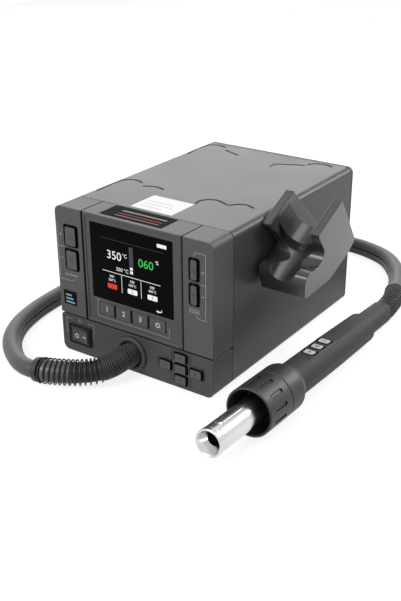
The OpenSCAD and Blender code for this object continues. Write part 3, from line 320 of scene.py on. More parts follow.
def moulded_plastic(name, colour, grain_mm=0.9, grain_height_mm=0.03, roughness=0.5, wear_and_highlight=0.35,
                    edge_mm=0.5, ior=1.53, skirt_and_shade=None):
    """Plastic from an etched mould: base colour, size and height of its grain, and polish at the edges,
    whose lighter colour is partly polish from hands and partly a painted highlight.

    With a colour for the sides it is a key that is painted: only what faces the front has the base colour,
    and the paint stops short of the rims. The black of its sides, rims and sunk parts is also painted shade,
    for the gaps round the key."""
    material, tree, shader = new_material(name)
    place = add_node(tree, "TexCoord").outputs["Object"]
    grain = add_node(tree, "TexNoise", {"Vector": place, "Scale": 1 / (grain_mm * MM), "Detail": 3.0,
                                        "Roughness": 0.6})
    flow = add_node(tree, "TexNoise", {"Vector": place, "Scale": 1 / FLOW_SIZE, "Detail": 4.0})
    rounded = add_node(tree, "Bevel", {"Radius": edge_mm * MM}, samples=8)
    true_normal = add_node(tree, "NewGeometry").outputs["Normal"]
    likeness = add_node(tree, "VectorMath", {0: rounded.outputs[0], 1: true_normal},
                        operation="DOT_PRODUCT").outputs["Value"]
    edge = add_node(tree, "MapRange", {"Value": likeness, "From Min": POLISH_AND_HIGHLIGHT_STARTS,
                                       "From Max": POLISH_AND_HIGHLIGHT_FULL, "To Min": 0.0, "To Max": wear_and_highlight})
    rubbed_and_highlit = add_node(tree, "Math", {0: edge.outputs[0], 1: flow.outputs["Fac"]}, operation="MULTIPLY")
    dark, light = shades(colour, 0.90, 1.10)
    tint = add_node(tree, "Mix", {0: flow.outputs["Fac"], 6: dark, 7: light}, data_type="RGBA")
    speck = add_node(tree, "MapRange", {"Value": grain.outputs["Fac"], "To Min": 0.93, "To Max": 1.07})
    speckled = add_node(tree, "Mix", {0: 1.0, 6: tint.outputs[2], 7: speck.outputs[0]},
                        data_type="RGBA", blend_type="MULTIPLY")
    # Lighter colour at the edges: partly polish from hands, partly a painted highlight
    worn_and_highlight_colour = [WORN_AND_HIGHLIGHT_SHARE * part + WORN_AND_HIGHLIGHT_EXTRA for part in linear(colour)[:3]]
    skin = add_node(tree, "Mix", {0: rubbed_and_highlit.outputs[0], 6: speckled.outputs[2], 7: (*worn_and_highlight_colour, 1.0)},
                    data_type="RGBA")
    # Painted shade: ambient occlusion darkens the colour in narrow gaps and grooves
    nook = add_node(tree, "AmbientOcclusion", {"Distance": NOOK_REACH, "Normal": true_normal}, samples=6)
    crease_shade = add_node(tree, "MapRange", {"Value": nook.outputs["AO"], "From Min": 0.25, "From Max": 0.85,
                                       "To Min": 0.25, "To Max": 1.0})
    skin = add_node(tree, "Mix", {0: 1.0, 6: skin.outputs[2], 7: crease_shade.outputs[0]}, data_type="RGBA",
                    blend_type="MULTIPLY")
    # The black on sides, rims and sunk parts is the key's moulding and also painted shade in the gaps
    if skirt_and_shade:
        deep = add_node(tree, "SeparateXYZ", {0: place}).outputs["Y"]
        facing = add_node(tree, "SeparateXYZ", {0: true_normal}).outputs["Y"]
        sunk = add_node(tree, "Math", {0: deep, 1: SKIRT_SHADE_FROM}, operation="GREATER_THAN")
        turned = add_node(tree, "Math", {0: facing, 1: FACES_FRONT}, operation="GREATER_THAN")
        rim_shade = add_node(tree, "MapRange", {"Value": likeness, "From Min": PAINT_ENDS_SHADE_STARTS,
                                          "From Max": PAINT_GONE_SHADE_FULL})
        beside = add_node(tree, "Math", {0: sunk.outputs[0], 1: turned.outputs[0]}, operation="MAXIMUM")
        unpainted_and_shaded = add_node(tree, "Math", {0: beside.outputs[0], 1: rim_shade.outputs[0]}, operation="MAXIMUM")
        skin = add_node(tree, "Mix", {0: unpainted_and_shaded.outputs[0], 6: skin.outputs[2], 7: linear(skirt_and_shade)},
                        data_type="RGBA")
    matt = add_node(tree, "MapRange", {"Value": flow.outputs["Fac"], "To Min": roughness - 0.06,
                                       "To Max": roughness + 0.06})
    polish = add_node(tree, "Math", {0: matt.outputs[0], 1: rubbed_and_highlit.outputs[0]}, operation="SUBTRACT")
    bump = add_node(tree, "Bump", {"Height": grain.outputs["Fac"], "Distance": grain_height_mm * MM,
                                   "Strength": 0.8, "Normal": rounded.outputs[0]})
    tree.links.new(skin.outputs[2], shader.inputs["Base Color"])
    tree.links.new(polish.outputs[0], shader.inputs["Roughness"])
    tree.links.new(bump.outputs[0], shader.inputs["Normal"])
    shader.inputs["IOR"].default_value = ior
    return material


# %% Plastics of the station
# ABS, charcoal, spark-eroded mould: a dull even grey with a fine sparkle on the front mouldings
front_abs = moulded_plastic("abs_charcoal_etched", "#4c4c4d", roughness=0.55, edge_mm=1.1)
# ABS for the screen surround and lower moulding, the same resin. Its darker colour is painted shade, for
# the light that falls off towards the bottom of the front
pod_abs_shaded = moulded_plastic("abs_charcoal_etched_surround_shaded", "#454546", roughness=0.55, edge_mm=0.9)
lower_abs_shaded = moulded_plastic("abs_charcoal_etched_lower_shaded", "#3b3b3c", roughness=0.58, edge_mm=1.0)
# ABS, satin: the case's sleeve has a finer etch, so it mirrors a bright room at a low angle. Its IOR is
# lower than that of bare ABS, because the etch swallows part of the reflection
case_abs = moulded_plastic("abs_charcoal_satin", "#454647", grain_mm=0.8, grain_height_mm=0.015,
                           roughness=0.42, wear_and_highlight=0.1, edge_mm=1.6, ior=1.38)
# ABS, black: tray and rear panel, out of sight and a shade darker
tray_abs = moulded_plastic("abs_black_etched", "#38383a", roughness=0.6)
# ABS keys, moulded in black and sprayed grey on their faces, a little smoother from being pressed. The
# black of their sides, rims and sunk parts is also painted shade in the gaps round them
key_abs = moulded_plastic("abs_key_sprayed_painted_shade", "#4d4d4e", grain_height_mm=0.015, roughness=0.45,
                          edge_mm=0.5, wear_and_highlight=0.2, skirt_and_shade="#080809")
# Glass filled nylon of the handpiece: fibres near the surface give a coarse dry grain with little sheen,
# and its edges are drawn pale, partly as rubbed by hands and partly as a painted highlight
hand_nylon = moulded_plastic("nylon_glass_filled", "#363739", grain_mm=1.0, grain_height_mm=0.05,
                             roughness=0.62, wear_and_highlight=0.8, edge_mm=0.8, ior=1.38)
# PPS guard cup and collar, stiff and heat proof, smoother and darker than the grip
guard_pps = moulded_plastic("pps_guard_moulded", "#232425", grain_height_mm=0.02, roughness=0.48)
# Silicone elastomer cuff, soft and matt
cuff_rubber = moulded_plastic("silicone_cuff", "#2f3031", grain_mm=0.8, grain_height_mm=0.02,
                              roughness=0.62, wear_and_highlight=0.1, ior=1.41)
# ABS of the cradle, from a polished mould: long soft reflections down its cheeks
cradle_abs = moulded_plastic("abs_cradle_polished", "#373739", grain_height_mm=0.006, roughness=0.24,
                             wear_and_highlight=0.5)
# ABS buttons of the handpiece, light grey, with grime in the grain
button_abs = moulded_plastic("abs_button_grey", "#cdcecf", grain_mm=0.3, grain_height_mm=0.005,
                             roughness=0.4, edge_mm=0.3)
# Polyamide of the switch's bezel and the mains inlet: dark and satin
switch_pa = moulded_plastic("polyamide_dark_satin", "#343435", grain_height_mm=0.008, roughness=0.6,
                            wear_and_highlight=0.05, edge_mm=0.3, ior=1.4)
# Polyamide of the rocker, a worn dark grey that fingers have dulled
rocker_pa = moulded_plastic("polyamide_rocker", "#38383a", grain_height_mm=0.01, roughness=0.5,
                            edge_mm=0.4)
# PBT of the blower and its duct: black, semi-matt
blower_pbt = moulded_plastic("pbt_black", "#232325", grain_mm=0.5, roughness=0.45)
# PBT of the blower wheel, natural, which is an off white that yellows a little
wheel_pbt = moulded_plastic("pbt_natural", "#dad6c8", grain_mm=0.4, roughness=0.4, wear_and_highlight=0.1)
# Thermoplastic rubber of the feet and grommet: black, dry, no gloss
foot_rubber = moulded_plastic("rubber_foot", "#242424", grain_mm=0.7, grain_height_mm=0.02,
                              roughness=0.75, wear_and_highlight=0.1, ior=1.5)
print("plastics made, materials so far:", len(bpy.data.materials))

# %% [markdown]
# ## Steel
# The nozzle and the heater tube are stainless steel, drawn and then turned against a brush, so fine
# scratches run round them. The real ones are some 0.05 mm apart; here they are drawn 0.25 mm apart, or
# they would vanish in the picture. Heat leaves the steel near the mouth a shade darker and warmer. The
# screws are zinc plated, paler and bluer.

# %% Metals
SCRATCH_DEPTH = 0.003 * MM
# Along the scratches the pattern is scaled by this share, which draws it out
SCRATCH_SQUEEZE = 0.08
STAIN_SIZE = 9 * MM
HEAT_SHARE = 0.75


def brushed_metal(name, colour, roughness, scratch_mm, along, tint=None, tint_from=0.0, tint_to=1.0):
    """Metal with fine scratches across the direction along, and a heat tint between two places on it."""
    material, tree, shader = new_material(name)
    place = add_node(tree, "TexCoord").outputs["Object"]
    squeeze = [SCRATCH_SQUEEZE + (1 - SCRATCH_SQUEEZE) * abs(part) for part in along]
    stretched = add_node(tree, "Mapping", {"Vector": place, "Scale": squeeze})
    scratch = add_node(tree, "TexNoise", {"Vector": stretched.outputs[0], "Scale": 1 / (scratch_mm * MM),
                                          "Detail": 2.0})
    stain = add_node(tree, "TexNoise", {"Vector": place, "Scale": 1 / STAIN_SIZE, "Detail": 5.0})
    dark, light = shades(colour, 0.88, 1.08)
    skin = add_node(tree, "Mix", {0: scratch.outputs["Fac"], 6: dark, 7: light}, data_type="RGBA")
    if tint:
        deep = add_node(tree, "SeparateXYZ", {0: place}).outputs["Y"]
        heat = add_node(tree, "MapRange", {"Value": deep, "From Min": tint_from, "From Max": tint_to,
                                           "To Min": HEAT_SHARE, "To Max": 0.0})
        skin = add_node(tree, "Mix", {0: heat.outputs[0], 6: skin.outputs[2], 7: linear(tint)},
                        data_type="RGBA")
    dull = add_node(tree, "MapRange", {"Value": stain.outputs["Fac"], "To Min": roughness - 0.08,
                                       "To Max": roughness + 0.08})
    bump = add_node(tree, "Bump", {"Height": scratch.outputs["Fac"], "Distance": SCRATCH_DEPTH,
                                   "Strength": 0.5})
    tree.links.new(skin.outputs[2], shader.inputs["Base Color"])
    tree.links.new(dull.outputs[0], shader.inputs["Roughness"])
    tree.links.new(bump.outputs[0], shader.inputs["Normal"])
    shader.inputs["Metallic"].default_value = 1.0
    return material


# The tint is full 50 mm in front of the cup's mouth and fades out 28 mm in front of it
TINT_FULL_Y = at_hand(0, -50, 0).y
TINT_END_Y = at_hand(0, -28, 0).y
nozzle_steel = brushed_metal("stainless_polished_heated", "#d9d9d9", 0.19, 0.25, (0, 1, 0),
                             tint="#d0cfcd", tint_from=TINT_FULL_Y, tint_to=TINT_END_Y)
barrel_steel = brushed_metal("stainless_brushed", "#c6c6c6", 0.22, 0.25, (0, 1, 0))
screw_zinc = brushed_metal("zinc_plated_screw", "#b9bdc2", 0.35, 0.4, (1, 1, 1))
motor_steel = brushed_metal("nickel_plated_can", "#b3b3ae", 0.3, 0.3, (0, 0, 1))
coil_wire = brushed_metal("nichrome_wire_oxidised", "#7d6b5e", 0.5, 0.3, (1, 1, 1))
print("metals made")

# %% [markdown]
# ## Spring wire
# The hose's springs are carbon steel wire, oil blacked. The black is an oxide and not bare metal, so it has
# a base colour of its own, and what mirrors the light is the film of oil on it. Where hands and the bench
# rub the turns, the oxide goes grey.

# %% Spring wire
RUB_SIZE = 3 * MM


def blacked_wire(name, colour, roughness):
    """Blacked spring steel under a film of oil, whose IOR of 1.5 decides how much it mirrors."""
    material, tree, shader = new_material(name)
    place = add_node(tree, "TexCoord").outputs["Object"]
    rub = add_node(tree, "TexNoise", {"Vector": place, "Scale": 1 / RUB_SIZE, "Detail": 4.0})
    dark, light = shades(colour, 0.6, 1.5)
    skin = add_node(tree, "Mix", {0: rub.outputs["Fac"], 6: dark, 7: light}, data_type="RGBA")
    dull = add_node(tree, "MapRange", {"Value": rub.outputs["Fac"], "To Min": roughness - 0.1,
                                       "To Max": roughness + 0.1})
    tree.links.new(skin.outputs[2], shader.inputs["Base Color"])
    tree.links.new(dull.outputs[0], shader.inputs["Roughness"])
    shader.inputs["IOR"].default_value = 1.5
    return material


# Open coil at the outlet: the oil is polished, so each turn has a thin bright line
spring_wire = blacked_wire("spring_steel_oil_blacked", "#0c0c0d", 0.3)
# Tail coil: its light grey is a painted highlight, for the bright line on each turn
highlit_tail_wire = blacked_wire("spring_steel_painted_highlight", "#7c7c7e", 0.22)
# Close coil, blacked and left dry: matt, so its turns show as fine even ribs
matt_wire = blacked_wire("spring_steel_blacked_matt", "#28282a", 0.55)
print("spring wires made")

# %% [markdown]
# ## Rubber hose
# The hose is an extruded silicone: a main tube for the air and a thin lobe for the heater's leads, with a
# sharp groove between them. Extrusion leaves very fine lines along it, and the soft surface scatters light
# broadly, so it looks velvety grey where it faces a light and nearly black where it doesn't. The lines
# follow the hose's own wrap coordinates: how far round, and how far along. The groove and other narrow
# places are darkened as painted shade.

# %% Rubber
DUST_SIZE = 18 * MM
LINE_HEIGHT = 0.04 * MM
# A noise is stretched into lines: so many steps round the section, and so few in a metre along it
LINES_AROUND = 60.0
LINES_ALONG = 8.0


def extruded_rubber(name, colour, roughness):
    """Silicone rubber with fine lines along the extrusion, dust in patches and painted shade in narrow
    places.
    """
    material, tree, shader = new_material(name)
    wrap = add_node(tree, "TexCoord").outputs["UV"]
    place = add_node(tree, "TexCoord").outputs["Object"]
    along = add_node(tree, "Mapping", {"Vector": wrap, "Scale": (LINES_AROUND, LINES_ALONG, 1.0)})
    lines = add_node(tree, "TexNoise", {"Vector": along.outputs[0], "Scale": 2.0, "Detail": 2.0})
    dust = add_node(tree, "TexNoise", {"Vector": place, "Scale": 1 / DUST_SIZE, "Detail": 6.0})
    dark, light = shades(colour, 0.85, 1.2)
    skin = add_node(tree, "Mix", {0: dust.outputs["Fac"], 6: dark, 7: light}, data_type="RGBA")
    dull = add_node(tree, "MapRange", {"Value": dust.outputs["Fac"], "To Min": roughness - 0.07,
                                       "To Max": roughness + 0.07})
    bump = add_node(tree, "Bump", {"Height": lines.outputs["Fac"], "Distance": LINE_HEIGHT,
                                   "Strength": 0.5})
    # Painted shade: ambient occlusion darkens the groove and other narrow places
    nook = add_node(tree, "AmbientOcclusion", {"Distance": NOOK_REACH}, samples=6)
    crease_shade = add_node(tree, "MapRange", {"Value": nook.outputs["AO"], "From Min": 0.35, "From Max": 0.85,
                                       "To Min": 0.05, "To Max": 1.0})
    skin = add_node(tree, "Mix", {0: 1.0, 6: skin.outputs[2], 7: crease_shade.outputs[0]}, data_type="RGBA",
                    blend_type="MULTIPLY")
    tree.links.new(skin.outputs[2], shader.inputs["Base Color"])
    tree.links.new(dull.outputs[0], shader.inputs["Roughness"])
    tree.links.new(bump.outputs[0], shader.inputs["Normal"])
    shader.inputs["IOR"].default_value = 1.43
    shader.inputs["Sheen Weight"].default_value = 0.3
    shader.inputs["Sheen Roughness"].default_value = 0.5
    return material


# The hose itself, velvety and mid grey
hose_rubber = extruded_rubber("silicone_hose_extruded", "#48484a", 0.5)
# The collar and the tail's lip, moulded and darker
collar_rubber = extruded_rubber("rubber_collar_moulded", "#2b2b2c", 0.55)
# The sleeve inside the open coil, smooth and paler, so the black wire stands out on it
sleeve_rubber = extruded_rubber("silicone_sleeve_smooth", "#69696b", 0.35)
print("rubber made")

# %% [markdown]
# ## Board, ceramic, ink, glass and light
# What is left are small things. Boards have a dark solder mask with a faint weave of glass cloth under it.
# The heater's core is mica, layered and pearly. Print on the panels is a thin ink. The window is
# hard coated acrylic with an anti-reflective film, so it stays black where plain glass would turn grey.
# The marks on the display are the only things that give light, and they give no more than white.

# %% Small materials
CELL_SIZE = 0.6 * MM


def plain_finish(name, colour, roughness, pattern_mm, contrast=0.12, ior=1.5, bump_mm=0.0):
    """A finish with one pattern of its own size, which varies colour, roughness and height a little."""
    material, tree, shader = new_material(name)
    place = add_node(tree, "TexCoord").outputs["Object"]
    pattern = add_node(tree, "TexNoise", {"Vector": place, "Scale": 1 / (pattern_mm * MM), "Detail": 4.0})
    dark, light = shades(colour, 1 - contrast, 1 + contrast)
    skin = add_node(tree, "Mix", {0: pattern.outputs["Fac"], 6: dark, 7: light}, data_type="RGBA")
    dull = add_node(tree, "MapRange", {"Value": pattern.outputs["Fac"],
                                       "To Min": max(roughness - 0.05, 0.02), "To Max": roughness + 0.05})
    tree.links.new(skin.outputs[2], shader.inputs["Base Color"])
    tree.links.new(dull.outputs[0], shader.inputs["Roughness"])
    shader.inputs["IOR"].default_value = ior
    if bump_mm:
        bump = add_node(tree, "Bump", {"Height": pattern.outputs["Fac"], "Distance": bump_mm * MM})
        tree.links.new(bump.outputs[0], shader.inputs["Normal"])
    return material


def lit_mark(name, colour):
    """A lit segment of the display: its own light, no brighter than the colour says, under dark glass."""
    material, tree, shader = new_material(name)
    place = add_node(tree, "TexCoord").outputs["Object"]
    cells = add_node(tree, "TexNoise", {"Vector": place, "Scale": 1 / CELL_SIZE, "Detail": 1.0})
    dark, light = shades(colour, 0.94, 1.0)
    glow = add_node(tree, "Mix", {0: cells.outputs["Fac"], 6: dark, 7: light}, data_type="RGBA")
    tree.links.new(glow.outputs[2], shader.inputs["Emission Color"])
    shader.inputs["Emission Strength"].default_value = 1.0
    shader.inputs["Base Color"].default_value = linear("#0a0a0c")
    shader.inputs["Roughness"].default_value = 0.15
    shader.inputs["IOR"].default_value = 1.25
    return material


board_mask = plain_finish("board_solder_mask", "#173424", 0.35, 0.9, 0.25)
supply_parts = plain_finish("supply_parts_varnished", "#5a4a2c", 0.5, 4.0, 0.35)
module_tin = plain_finish("display_frame_tinned", "#8d9094", 0.35, 2.0, 0.1)
core_mica = plain_finish("mica_heater_core", "#c9bfa6", 0.4, 1.5, 0.2, ior=1.6, bump_mm=0.05)
ceramic_bead = plain_finish("ceramic_sensor_bead", "#d8d2c4", 0.5, 1.0, 0.1)
window_acrylic = plain_finish("acrylic_hard_coated", "#060607", 0.07, 30.0, 0.3, ior=1.1)
ink_pale = plain_finish("pad_print_pale", "#a9a9a9", 0.6, 0.6, 0.12)
ink_white = plain_finish("pad_print_white", "#e6e6e6", 0.6, 0.6, 0.06)
ink_dark = plain_finish("pad_print_dark", "#2a2a2b", 0.6, 0.6, 0.15)
# Matt black, which mirrors almost nothing: the washer, and painted shade round the switch, the buttons and
# the cup's slots, on the keys' right edges and under the tail coil
matt_black = plain_finish("matt_black_washer_and_painted_shade", "#09090a", 0.7, 0.6, 0.15, ior=1.1)
label_white = plain_finish("label_film_white", "#f2f2f0", 0.6, 6.0, 0.03, ior=1.3, bump_mm=0.01)
label_black = plain_finish("label_film_black", "#1a1a1b", 0.7, 6.0, 0.1, ior=1.1, bump_mm=0.01)
label_grey = plain_finish("label_ink_grey", "#8f8f8e", 0.7, 1.0, 0.1, ior=1.3)
label_red = plain_finish("label_ink_red", "#b02a24", 0.7, 1.0, 0.1, ior=1.3)
label_blue = plain_finish("label_ink_blue", "#8fb9d2", 0.4, 1.0, 0.1)
lit_white = lit_mark("display_white", "#f4f6f8")
lit_green = lit_mark("display_green", "#35c758")
lit_red = lit_mark("display_red", "#e0352c")
lit_grey = lit_mark("display_grey", "#3c4044")
print("materials so far:", len(bpy.data.materials))

# %% [markdown]
# ## Finish of each CAD piece
# Most CAD pieces already have the right shape, so they stay, and only their material slots are filled.
# One table says which piece gets which finish.

# %% Dress the CAD pieces
STRIP_KEYS = ["channel_key_1", "channel_key_2", "channel_key_3", "cycle_key"]
PAD_WAYS = {"up": (0, 1), "left": (-1, 0), "centre": (0, 0), "right": (1, 0), "down": (0, -1)}
FINISHES = {
    front_abs: ["front_frame"],
    pod_abs_shaded: ["display_pod"],
    lower_abs_shaded: ["lower_panel", "hose_gland"],
    case_abs: ["case_shell"],
    tray_abs: ["base_tray", "rear_panel"],
    key_abs: (["temp_key_up", "temp_key_down", "air_key_up", "air_key_down"] + STRIP_KEYS
              + ["pad_key_" + way for way in PAD_WAYS]),
    hand_nylon: ["grip_lower", "grip_upper"],
    guard_pps: ["guard_cup", "guard_collar"],
    cuff_rubber: ["tail_cuff"],
    cradle_abs: ["cradle", "cradle_pad"],
    button_abs: ["grip_button_1", "grip_button_2", "grip_button_3"],
    switch_pa: ["switch_frame", "power_inlet"],
    rocker_pa: ["power_rocker"],
    blower_pbt: ["blower_housing", "blower_cover", "air_duct"],
    wheel_pbt: ["blower_impeller"],
    foot_rubber: ["feet"],
    nozzle_steel: ["nozzle"],
    barrel_steel: ["heater_barrel"],
    screw_zinc: ["cradle_screws", "case_screws"],
    motor_steel: ["blower_motor"],
    coil_wire: ["heater_coil"],
    core_mica: ["heater_core"],
    ceramic_bead: ["thermocouple"],
    board_mask: ["display_board", "pad_board", "main_board", "grip_board"],
    supply_parts: ["power_supply"],
    module_tin: ["lcd_module"],
    window_acrylic: ["screen_window"],
}
left_to_make = set(nodes)
for finish, names in FINISHES.items():
    for name in names:
        for material_slot in nodes[name].material_slots:
            material_slot.material = finish
        left_to_make.remove(name)
print("dressed:", len(nodes) - len(left_to_make), "left to make:", sorted(left_to_make))

# %% [markdown]
# ## Hose
# The route repeats the points of the CAD model: out of the front, round the left side and the back, and
# home to the handpiece. The photograph shows the hose nearly from end to end, so that is its length. The
# section is two circles joined by a groove: the main tube of 14 mm and the lead lobe of 6.5 mm beside it.
# It could be two tubes side by side, but then the light would fall between them. One outline with a sharp
# notch on each side gives the crease that the real one has.

# %% Routes
SLEEVE_ROUTE = [at_bench(*point) for point in (
    (72.5, 1.4, 17.5), (72.5, -4, 17.5), (71.6, -10, 17), (68, -20, 14.2), (60, -30, 11.4),
    (49, -38.8, 10.6), (37, -45.6, 10.6), (28, -49.6, 10.6), (21, -51.5, 10.4))]
COLLAR_MIDDLE = at_bench(16, -52.3, 10.1)
HOSE_ROUTE = [at_bench(*point) for point in (
    (11, -52.4, 9.8), (4, -51, 9.2), (-6, -46.6, 8.2), (-20, -38, 7.3), (-32, -28.5, 7.2), (-43, -16, 7.2),
    (-53, 2, 7.2), (-60, 24, 7.2), (-64, 48, 7.2), (-66, 82, 7.2), (-64, 124, 7.2), (-58, 168, 7.2),
    (-46, 214, 7.2), (-25, 257, 7.2), (7, 293, 7.2), (51, 320, 7.2), (99, 330, 7.2), (141, 318, 7.2),
    (167, 291, 7.2), (181, 262, 7.6), (187, 243, 8.6))]
TAIL_ROUTE = [at_hand(0, HAND_LENGTH, 0)] + [at_bench(*point) for point in (
    (197.4, 201, 10.2), (194.6, 221, 9.7), (190.2, 236, 9.2), (187, 243, 8.6))]
HOSE_STEP = 3 * MM

sleeve_line = smooth_line(SLEEVE_ROUTE, 12)
collar_line = smooth_line([SLEEVE_ROUTE[-1], COLLAR_MIDDLE, HOSE_ROUTE[0]], 8)
hose_line = smooth_line(HOSE_ROUTE, 12)
tail_line = smooth_line(TAIL_ROUTE, 10)
whole_line = even_line(sleeve_line + collar_line[1:-1] + hose_line + tail_line[-2::-1], HOSE_STEP)
HOSE_LENGTH = line_length(whole_line)
TAIL_LENGTH = line_length(tail_line)
print("hose from outlet to handpiece:", round(HOSE_LENGTH, 3), "m")

# %% Two-lobed hose
# Radius of each circle, and where its middle lies to the right of the hose's line and above it
MAIN_RADIUS = 7.0
MAIN_OFFSET = -1.0
LOBE_RADIUS = 3.25
LOBE_OFFSET = 4.75
LOBE_DROP = -3.6
# How deep the groove goes into the main tube, and how far round the tube its wall reaches
NOTCH_DEPTH = 1.8
NOTCH_ANGLE = math.radians(10)
MAIN_STEPS = 30
LOBE_STEPS = 16
SECOND_NOTCH = MAIN_STEPS + 2
# Under the springs the hose is drawn in to this share, and over this length at their ends it swells
GRIPPED_SHARE = 0.72
SWELL_LENGTH = 6.0
# Lengths along the hose from the outlet, in millimetres
OPEN_COIL_START = 29.8
CLOSE_COIL_END = 54.0
WASHER_START = 77.8
COLLAR_START = 78.9
COLLAR_END = 84.1


def meeting_angle(radius, other, apart):
    """Angle at a circle's middle between the line to another circle and the point where they cross."""
    return math.acos((apart ** 2 + radius ** 2 - other ** 2) / (2 * apart * radius))


def lobed_section(share):
    """Outline of the main tube with its lead lobe, as (right, up) in metres, with a notch on each side.

    The first point and the one at SECOND_NOTCH are the bottoms of the two notches."""
    gap = LOBE_OFFSET - MAIN_OFFSET
    apart = math.hypot(gap, LOBE_DROP)
    lean = math.atan2(LOBE_DROP, gap)
    near = meeting_angle(MAIN_RADIUS, LOBE_RADIUS, apart)
    far = meeting_angle(LOBE_RADIUS, MAIN_RADIUS, apart)
    floor_radius = MAIN_RADIUS - NOTCH_DEPTH
    notches = [(MAIN_OFFSET + floor_radius * math.cos(lean + side * near),
                floor_radius * math.sin(lean + side * near)) for side in (1, -1)]
    outline = [notches[0]]
    for k in range(MAIN_STEPS + 1):
        angle = lean + near + NOTCH_ANGLE + (math.tau - 2 * near - 2 * NOTCH_ANGLE) * k / MAIN_STEPS
        outline.append((MAIN_OFFSET + MAIN_RADIUS * math.cos(angle), MAIN_RADIUS * math.sin(angle)))
    outline.append(notches[1])
    for k in range(LOBE_STEPS + 1):
        angle = lean + math.pi + far + (math.tau - 2 * far) * (k + 0.5) / (LOBE_STEPS + 1)
        outline.append((LOBE_OFFSET + LOBE_RADIUS * math.cos(angle),
                        LOBE_DROP + LOBE_RADIUS * math.sin(angle)))
    return [(x * share * MM, z * share * MM) for x, z in outline]


def hose_section(gone):
    """The full section, drawn in under the springs; it swells again under the collar and the lip."""
    swell = SWELL_LENGTH * MM
    free = min(gone - COLLAR_START * MM, HOSE_LENGTH - TAIL_LENGTH + swell - gone)
    return lobed_section(GRIPPED_SHARE + (1 - GRIPPED_SHARE) * min(max(free / swell, 0.0), 1.0))


hose = swept("hose_two_lobed", whole_line, hose_section, hose_rubber, creases=(0, SECOND_NOTCH))
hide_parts("hose")
print("hose:", len(hose.data.polygons), "faces")

# %% [markdown]
# ## Springs, sleeves and collar
# Springs keep the hose from kinking where it leaves a housing. At the outlet a matt close-wound coil runs on
# under a wider open one, and a rubber collar with a dark washer holds them; inside the open coil the hose
# wears a smooth sleeve. Behind the handpiece is one more coil, drawn light grey as a painted highlight, over
# a black sleeve that is painted shade between its turns, and with a rubber lip at its end. A coil is drawn
# as a real helix: for each point of the line, the wire's own section is placed out from the line, turned a
# little further each time. A bumpy tube would be easier, but its turns would not catch the light one by one.

# %% Coils
TURN_STEPS = 36
WIRE_SIDES = 8
COIL_STEP = 1 * MM
# Each coil: radius of the winding's middle, thickness of the wire and distance of the turns
CLOSE_COIL = {"radius_mm": 8.6, "wire_mm": 1.9, "pitch_mm": 1.5}
OPEN_COIL = {"radius_mm": 9.95, "wire_mm": 1.35, "pitch_mm": 3.8}
TAIL_COIL = {"radius_mm": 8.75, "wire_mm": 1.0, "pitch_mm": 4.0}
# The close coil narrows by this share over this length where it runs under the open one
NARROWED_BY = 0.14
NARROWING_LENGTH = 4.0
# The open coil starts at this share of its width and is full after an eighth of its way
OPEN_STARTS_AT = 0.94
OPEN_GROWS = 8
# The tail coil starts this far from the cuff and ends this far before the tail's line does
TAIL_START = 0.5
TAIL_END_GAP = 4.0


def coil(name, line, material, radius_mm, wire_mm, pitch_mm, swell=None):
    """A wire wound round a line. swell gives the winding's width at a share of the way."""
    points = []
    faces = []
    rings = stations(even_line(line, pitch_mm * MM / TURN_STEPS))
    total = rings[-1][3]
    for middle, right, up, gone in rings:
        angle = math.tau * gone / (pitch_mm * MM)
        ahead = up.cross(right)
        outward = right * math.cos(angle) + up * math.sin(angle)
        wide = swell(gone / total) if swell else 1.0
        for k in range(WIRE_SIDES):
            round_wire = math.tau * k / WIRE_SIDES
            points.append(middle + outward * (radius_mm * wide + wire_mm / 2 * math.cos(round_wire)) * MM
                          + ahead * wire_mm / 2 * math.sin(round_wire) * MM)
    for i in range(len(rings) - 1):
        for k in range(WIRE_SIDES):
            a = i * WIRE_SIDES + k
            b = i * WIRE_SIDES + (k + 1) % WIRE_SIDES
            faces.append((a, a + WIRE_SIDES, b + WIRE_SIDES, b))
    last = (len(rings) - 1) * WIRE_SIDES
    faces.append(tuple(range(WIRE_SIDES)))
    faces.append(tuple(reversed(range(last, last + WIRE_SIDES))))
    piece = new_piece(name, points, faces, material)
    print(name, round(total / (pitch_mm * MM), 1), "turns")
    return piece


def close_width(share):
    """The close coil is a little narrower where it runs under the open one."""
    beyond = (share * CLOSE_COIL_END - OPEN_COIL_START) / NARROWING_LENGTH
    return 1.0 - NARROWED_BY * min(max(beyond, 0.0), 1.0)


def open_width(share):
    """The open coil starts tight on the close one."""
    return OPEN_STARTS_AT + (1 - OPEN_STARTS_AT) * min(share * OPEN_GROWS, 1.0)


outlet_line = sleeve_line + collar_line[1:]
coil_way = even_line(outlet_line, COIL_STEP)
under_coil = coil("outlet_coil_close", part_of(coil_way, 0, CLOSE_COIL_END), matt_wire, swell=close_width,
                  **CLOSE_COIL)
open_coil = coil("outlet_coil_open", part_of(coil_way, OPEN_COIL_START, COLLAR_START), spring_wire,
                 swell=open_width, **OPEN_COIL)
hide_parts("hose_spring")

tail_way = even_line(tail_line, COIL_STEP)
TAIL_MM = TAIL_LENGTH / MM
tail_coil = coil("tail_coil", part_of(tail_way, TAIL_START, TAIL_MM - TAIL_END_GAP), highlit_tail_wire,
                 **TAIL_COIL)
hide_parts("tail_spring")

# %% Collar, washer, lip and inner sleeves
ROUND_SIDES = 36
FINE_STEP = 0.3 * MM
# The washer and the sleeve overlap their neighbours by so much. The tail's lip is so long, and its sleeve
# stops so far before the tail's line does
WASHER_OVERLAP = 0.3
SLEEVE_OVERLAP = 1.0
LIP_LENGTH = 4.5
TAIL_SLEEVE_GAP = 3.0


